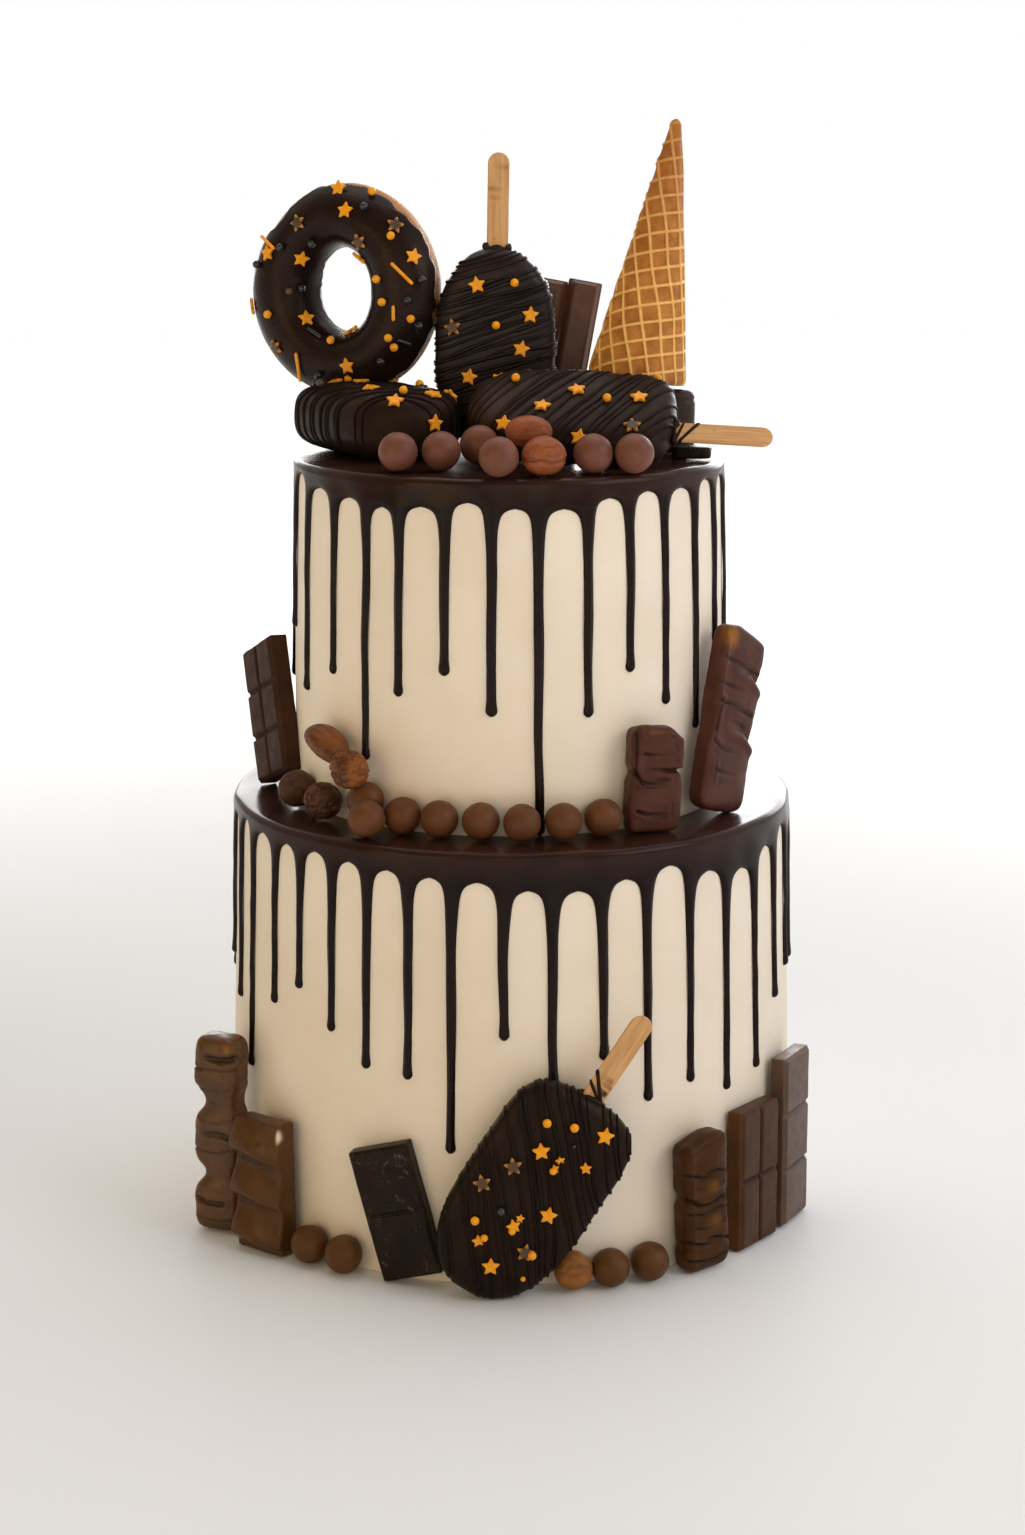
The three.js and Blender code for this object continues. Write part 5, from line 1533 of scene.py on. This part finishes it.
def rod(length=12.5, r=0.78):
    n = 12
    zs = [(-length / 2 + r * (1 - math.cos(t)), r * math.sin(t)) for t in (0.3, 0.7, 1.1, 1.5)]
    zs += [(z, r) for z in np.linspace(-length / 2 + r * 1.3, length / 2 - r * 1.3, 6)]
    zs += [(length / 2 - r * (1 - math.cos(t)), r * math.sin(t)) for t in (1.5, 1.1, 0.7, 0.3)]
    rings = []
    for z, q in zs:
        g = superring(q, q, 0, n, 1.0)
        rings.append(np.stack([g[:, 0], np.full(n, z), g[:, 1] + r], -1))
    return loft(rings, np.array([0, -length / 2, r]), np.array([0, length / 2, r]))


trees = {k: p.bvh() for k, p in targets.items()}


def on(target, px, py):
    """Point and normal of a surface under a point of the picture, or the nearest to that sight line."""
    tree, d = trees[target], pixel_ray(px, py)
    hit = tree.ray_cast(Vector(CAM_P), Vector(d), 5.0)
    if hit[0] is not None:
        return np.array(hit[0]) * 1000, np.array(hit[1])
    best = None
    for t in np.linspace(0.7, 1.5, 400):
        q = tree.find_nearest(Vector(CAM_P + d * t))
        if best is None or q[3] < best[3]:
            best = q
    return np.array(best[0]) * 1000, np.array(best[1])


def seat(shape, p, n, up, sink=0.0, tilt=None):
    """Sets a shape on a surface: its z along the normal, its y along up."""
    n = n / np.linalg.norm(n)
    y = up - up.dot(n) * n
    if np.linalg.norm(y) < 1e-3:
        y = np.cross(n, [1.0, 0, 0])
    y /= np.linalg.norm(y)
    m = np.eye(4)
    m[:3, 0], m[:3, 1], m[:3, 2] = np.cross(y, n), y, n
    m[:3, 3] = p + n * (0.35 - sink)
    if tilt is not None:
        m = m @ rot("x", tilt[0]) @ rot("y", tilt[1])
    q = Part(shape.v.copy(), shape.faces, **shape.attrs)
    q.local = q.v.copy()
    return q.put(m)


def turned(up_vector, axis, degrees):
    return np.array(Matrix.Rotation(math.radians(degrees), 3, Vector(axis)) @ Vector(up_vector))


rand = np.random.RandomState(17)
STAR, PEARL, ROD = star(), pearl(), rod()
gold, bronze, pearls, darks, rods, dark_rods = [], [], [], [], [], []


def put_star(target, px, py, roll=None, tilt=None, kind=None, size=1.0):
    p, n = on(target, px, py)
    roll = rand.uniform(-16, 16) if roll is None else roll
    up = turned(IMAGE_UP, n, roll)
    shape = Part(STAR.v * size, STAR.faces, **STAR.attrs)
    (gold if kind is None else kind).append(seat(shape, p, n, up, 0.1, tilt))


def put_pearl(target, px, py, kind=None, size=1.0):
    p, n = on(target, px, py)
    shape = Part(PEARL.v * size, PEARL.faces)
    (pearls if kind is None else kind).append(seat(shape, p, n, IMAGE_UP, 0.5))


def put_rod(target, a, b, kind=None, size=1.0):
    pa, na = on(target, *a)
    pb, nb = on(target, *b)
    c, n = (pa + pb) / 2, na + nb
    d = pb - pa
    length = np.linalg.norm(d)
    mid, mn = on(target, (a[0] + b[0]) / 2, (a[1] + b[1]) / 2)
    shape = rod(max(4.0, min(length, 14.0)), 0.78 * size)
    (rods if kind is None else kind).append(seat(shape, mid, mn, d / length, 0.15))


# on the doughnut
for x, y in ((346, 211), (269, 253), (301, 258), (413, 257), (254, 306), (306, 319), (352, 332), (348, 366)):
    put_star("ring", x, y)
put_star("ring", 361, 257, tilt=(20, 0))
put_star("ring", 339, 189, tilt=(35, 0))
for x, y in ((299, 223), (395, 226), (360, 242), (277, 347)):
    put_star("ring", x, y, kind=bronze)
for x, y in ((372, 194), (391, 237), (379, 279), (384, 302), (410, 318), (332, 343), (389, 337), (394, 346), (270, 314)):
    put_pearl("ring", x, y)
for a, b in (((391, 263), (413, 284.5)), ((394, 305), (394, 321)), ((296, 352), (303, 381)), ((260, 235), (279, 251))):
    put_rod("ring", a, b)
for x, y in ((312, 241), (300, 288), (282, 247), (420, 280), (408, 300), (418, 324.5), (365, 208), (260, 265), (320, 374), (381.5, 360)):
    put_pearl("ring", x, y, darks)
put_pearl("ring", 289, 291, bronze, 0.95)
for a, b in (((307, 329), (321, 339)), ((397, 339), (411, 344)), ((415, 322), (417, 334))):
    put_rod("ring", a, b, dark_rods)
# on the pop beneath it
for x, y in ((371, 390), (433, 396), (434, 423.5), (361, 383)):
    put_star("low", x, y)
put_star("low", 335, 379, tilt=(15, 0))
put_star("low", 395, 402)
put_star("low", 372, 389, tilt=(0, 10), size=0.9)
put_star("low", 391, 382, tilt=(40, 0))
put_star("low", 451, 395.5, tilt=(0, 25))
for x, y in ((403, 394), (419, 387), (348, 377)):
    put_pearl("low", x, y)
put_pearl("low", 321, 387, bronze)
put_pearl("low", 314, 376, darks)
put_rod("low", (424, 362), (430, 371), dark_rods)
# on the upright pop
for x, y in ((477, 285), (530, 315), (521, 349), (469, 377)):
    put_star("upright", x, y)
put_star("upright", 496, 388)
put_star("upright", 453, 327.5, kind=bronze)
for x, y in ((514, 283), (496, 325)):
    put_pearl("upright", x, y)
# on the lying pop
for x, y in ((504, 424.5), (542, 407), (577, 391), (639, 398.5), (579, 438)):
    put_star("lying", x, y)
put_star("lying", 632, 427, kind=bronze)
for x, y in ((607, 401), (516, 381)):
    put_pearl("lying", x, y)
# on the leaning pop
for x, y in ((605, 1136), (541, 1151), (548, 1215), (490.5, 1266)):
    put_star("front", x, y)
put_star("front", 513, 1226, size=0.85, tilt=(0, 15))
put_star("front", 554, 1169, size=0.6, tilt=(10, 25))
put_star("front", 520, 1218, size=0.5)
put_star("front", 560, 1160, size=0.55, tilt=(25, 0))
put_star("front", 478, 1240, size=0.75, tilt=(15, 15))
put_star("front", 586, 1168, size=0.7, tilt=(0, -25))
for x, y in ((513, 1166), (482.5, 1183), (525, 1252)):
    put_star("front", x, y, kind=bronze)
for x, y in ((547, 1122.5), (574, 1127), (475, 1219.5), (531.5, 1254)):
    put_pearl("front", x, y)
put_pearl("front", 522.5, 1278, size=0.6)
put_pearl("front", 553, 1170, size=0.85)
put_pearl("front", 512, 1230, size=0.85)
put_pearl("front", 484, 1237, size=0.85)
put_pearl("front", 501, 1210, darks)
put_pearl("front", 574, 1146, darks, 0.5)


# the sides that the picture doesn't show carry a few of each as well
def scatter(target, faces_to, count, seed, lists, low=None):
    p = targets[target]
    tri = p.tris()
    a, b, c = p.v[tri[:, 0]], p.v[tri[:, 1]], p.v[tri[:, 2]]
    n = np.cross(b - a, c - a)
    area = np.linalg.norm(n, axis=1)
    n = n / np.maximum(area, 1e-9)[:, None]
    keep = (n @ np.array(faces_to) > 0.75) & (area > 0)
    r = np.random.RandomState(seed)
    done = []
    ids = np.nonzero(keep)[0]
    weights = area[ids] / area[ids].sum()
    for _ in range(400):
        if len(done) >= count:
            break
        i = r.choice(ids, p=weights)
        q = (a[i] + b[i] + c[i]) / 3
        if any(np.linalg.norm(q - o) < 9 for o in done):
            continue
        done.append(q)
        kind = lists[len(done) % len(lists)]
        shape = STAR if kind in (gold, bronze) else PEARL
        up = turned(np.array([0.1, 0.1, 1.0]), n[i], r.uniform(0, 72))
        kind.append(seat(shape, q, n[i], up, 0.2))


scatter("upright", (0, 1, 0), 9, 3, [gold, gold, pearls, bronze, gold, darks])
scatter("lying", tuple(POP_LYING[:3, 0]), 3, 4, [gold, pearls, gold])

for name, parts, mat, slot in (
    ("stars_gold", gold, M_GOLD, None),
    ("stars_bronze", bronze, M_BRONZE, None),
    ("pearls_gold", pearls, M_GOLD, None),
    ("pearls_dark", darks, M_PEARL, None),
    ("rods_gold", rods, M_GOLD, None),
    ("rods_dark", dark_rods, M_PEARL, None),
):
    make(name, parts, mat)

# ------------------------------------------------------------------ floor, light
floor_mesh = bpy.data.meshes.new("floor")
floor_mesh.from_pydata([(-6, -6, 0), (6, -6, 0), (6, 6, 0), (-6, 6, 0)], [], [(0, 1, 2, 3)])
floor = bpy.data.objects.new("floor", floor_mesh)
scene.collection.objects.link(floor)
fm = Nodes("floor")
spread = fm.node("ShaderNodeVectorMath", operation="LENGTH")
fm.link(fm.node("ShaderNodeNewGeometry").outputs["Position"], spread.inputs[0])
fm.link(fm.range(spread.outputs["Value"], 0.3, 1.5, 0.0, 0.55), fm.bsdf.inputs["Emission Strength"])
fm.bsdf.inputs["Emission Color"].default_value = (1, 1, 1, 1)
floor_mesh.materials.append(fm.finish((0.84, 0.855, 0.885, 1.0), Roughness=0.6, Specular_IOR_Level=0.1))

world = bpy.data.worlds.new("studio")
scene.world = world
world.use_nodes = True
wt = world.node_tree
back = wt.nodes["Background"]
geo = wt.nodes.new("ShaderNodeTexCoord")
sep = wt.nodes.new("ShaderNodeSeparateXYZ")
wt.links.new(geo.outputs["Generated"], sep.inputs[0])


def world_mix(value, lo, hi, a, b):
    """Goes from colour a to colour b as the value goes from lo to hi."""
    m = wt.nodes.new("ShaderNodeMapRange")
    m.interpolation_type = "SMOOTHSTEP"
    m.inputs["From Min"].default_value, m.inputs["From Max"].default_value = lo, hi
    wt.links.new(value, m.inputs["Value"])
    c = wt.nodes.new("ShaderNodeMix")
    c.data_type = "RGBA"
    wt.links.new(m.outputs["Result"], c.inputs[0])
    for socket, x in ((c.inputs[6], a), (c.inputs[7], b)):
        if isinstance(x, tuple):
            socket.default_value = x + (1.0,)
        else:
            wt.links.new(x, socket)
    return c.outputs[2]


FRONT = world_mix(sep.outputs["X"], -0.8, 0.9, (0.29, 0.2, 0.085), (0.33, 0.325, 0.315))
REAR = world_mix(sep.outputs["X"], -0.9, 0.6, (0.6, 0.55, 0.45), (0.95, 0.95, 0.97))
around = world_mix(sep.outputs["Y"], -0.45, 0.35, FRONT, REAR)
path = wt.nodes.new("ShaderNodeLightPath")
pick = wt.nodes.new("ShaderNodeMix")
pick.data_type = "RGBA"
wt.links.new(path.outputs["Is Camera Ray"], pick.inputs[0])
wt.links.new(around, pick.inputs[6])
pick.inputs[7].default_value = (1, 1, 1, 1)
wt.links.new(pick.outputs[2], back.inputs["Color"])
back.inputs["Strength"].default_value = 1.0


def area(name, at, to, size, power, colour=(1, 1, 1)):
    data = bpy.data.lights.new(name, "AREA")
    data.shape = "RECTANGLE"
    data.size, data.size_y = size
    data.energy = power
    data.color = colour
    o = bpy.data.objects.new(name, data)
    scene.collection.objects.link(o)
    o.location = at
    o.rotation_euler = (Vector(to) - Vector(at)).to_track_quat("-Z", "Y").to_euler()
    return o


area("key_right", (1.6, -0.9, 1.2), (0, 0, 0.2), (1.2, 1.2), 12.2, (1.0, 0.985, 0.985))
area("fill_left", (-1.5, -1.9, 0.66), (0, 0, 0.15), (1.4, 1.0), 8.5, (1.0, 0.78, 0.44))
area("fill_front", (0.2, -2.3, 0.8), (0, 0, 0.15), (1.4, 0.9), 4.7, (1.0, 0.9, 0.78))
area("top", (0, 0.3, 1.8), (0, 0, 0.3), (1.4, 1.0), 6.0)
rear_right = area("rear_right", (0.85, 2.4, 0.8), (0, 0, 0.25), (1.8, 1.0), 32)
rear_right.visible_camera = rear_right.visible_diffuse = False
rear_left = area("rear_left", (-0.62, 2.4, 0.8), (0, 0, 0.25), (0.75, 1.0), 8)
rear_left.visible_camera = rear_left.visible_diffuse = False

scene.view_settings.view_transform = "Standard"
scene.view_settings.look = "None"
scene.view_settings.exposure = 0.0
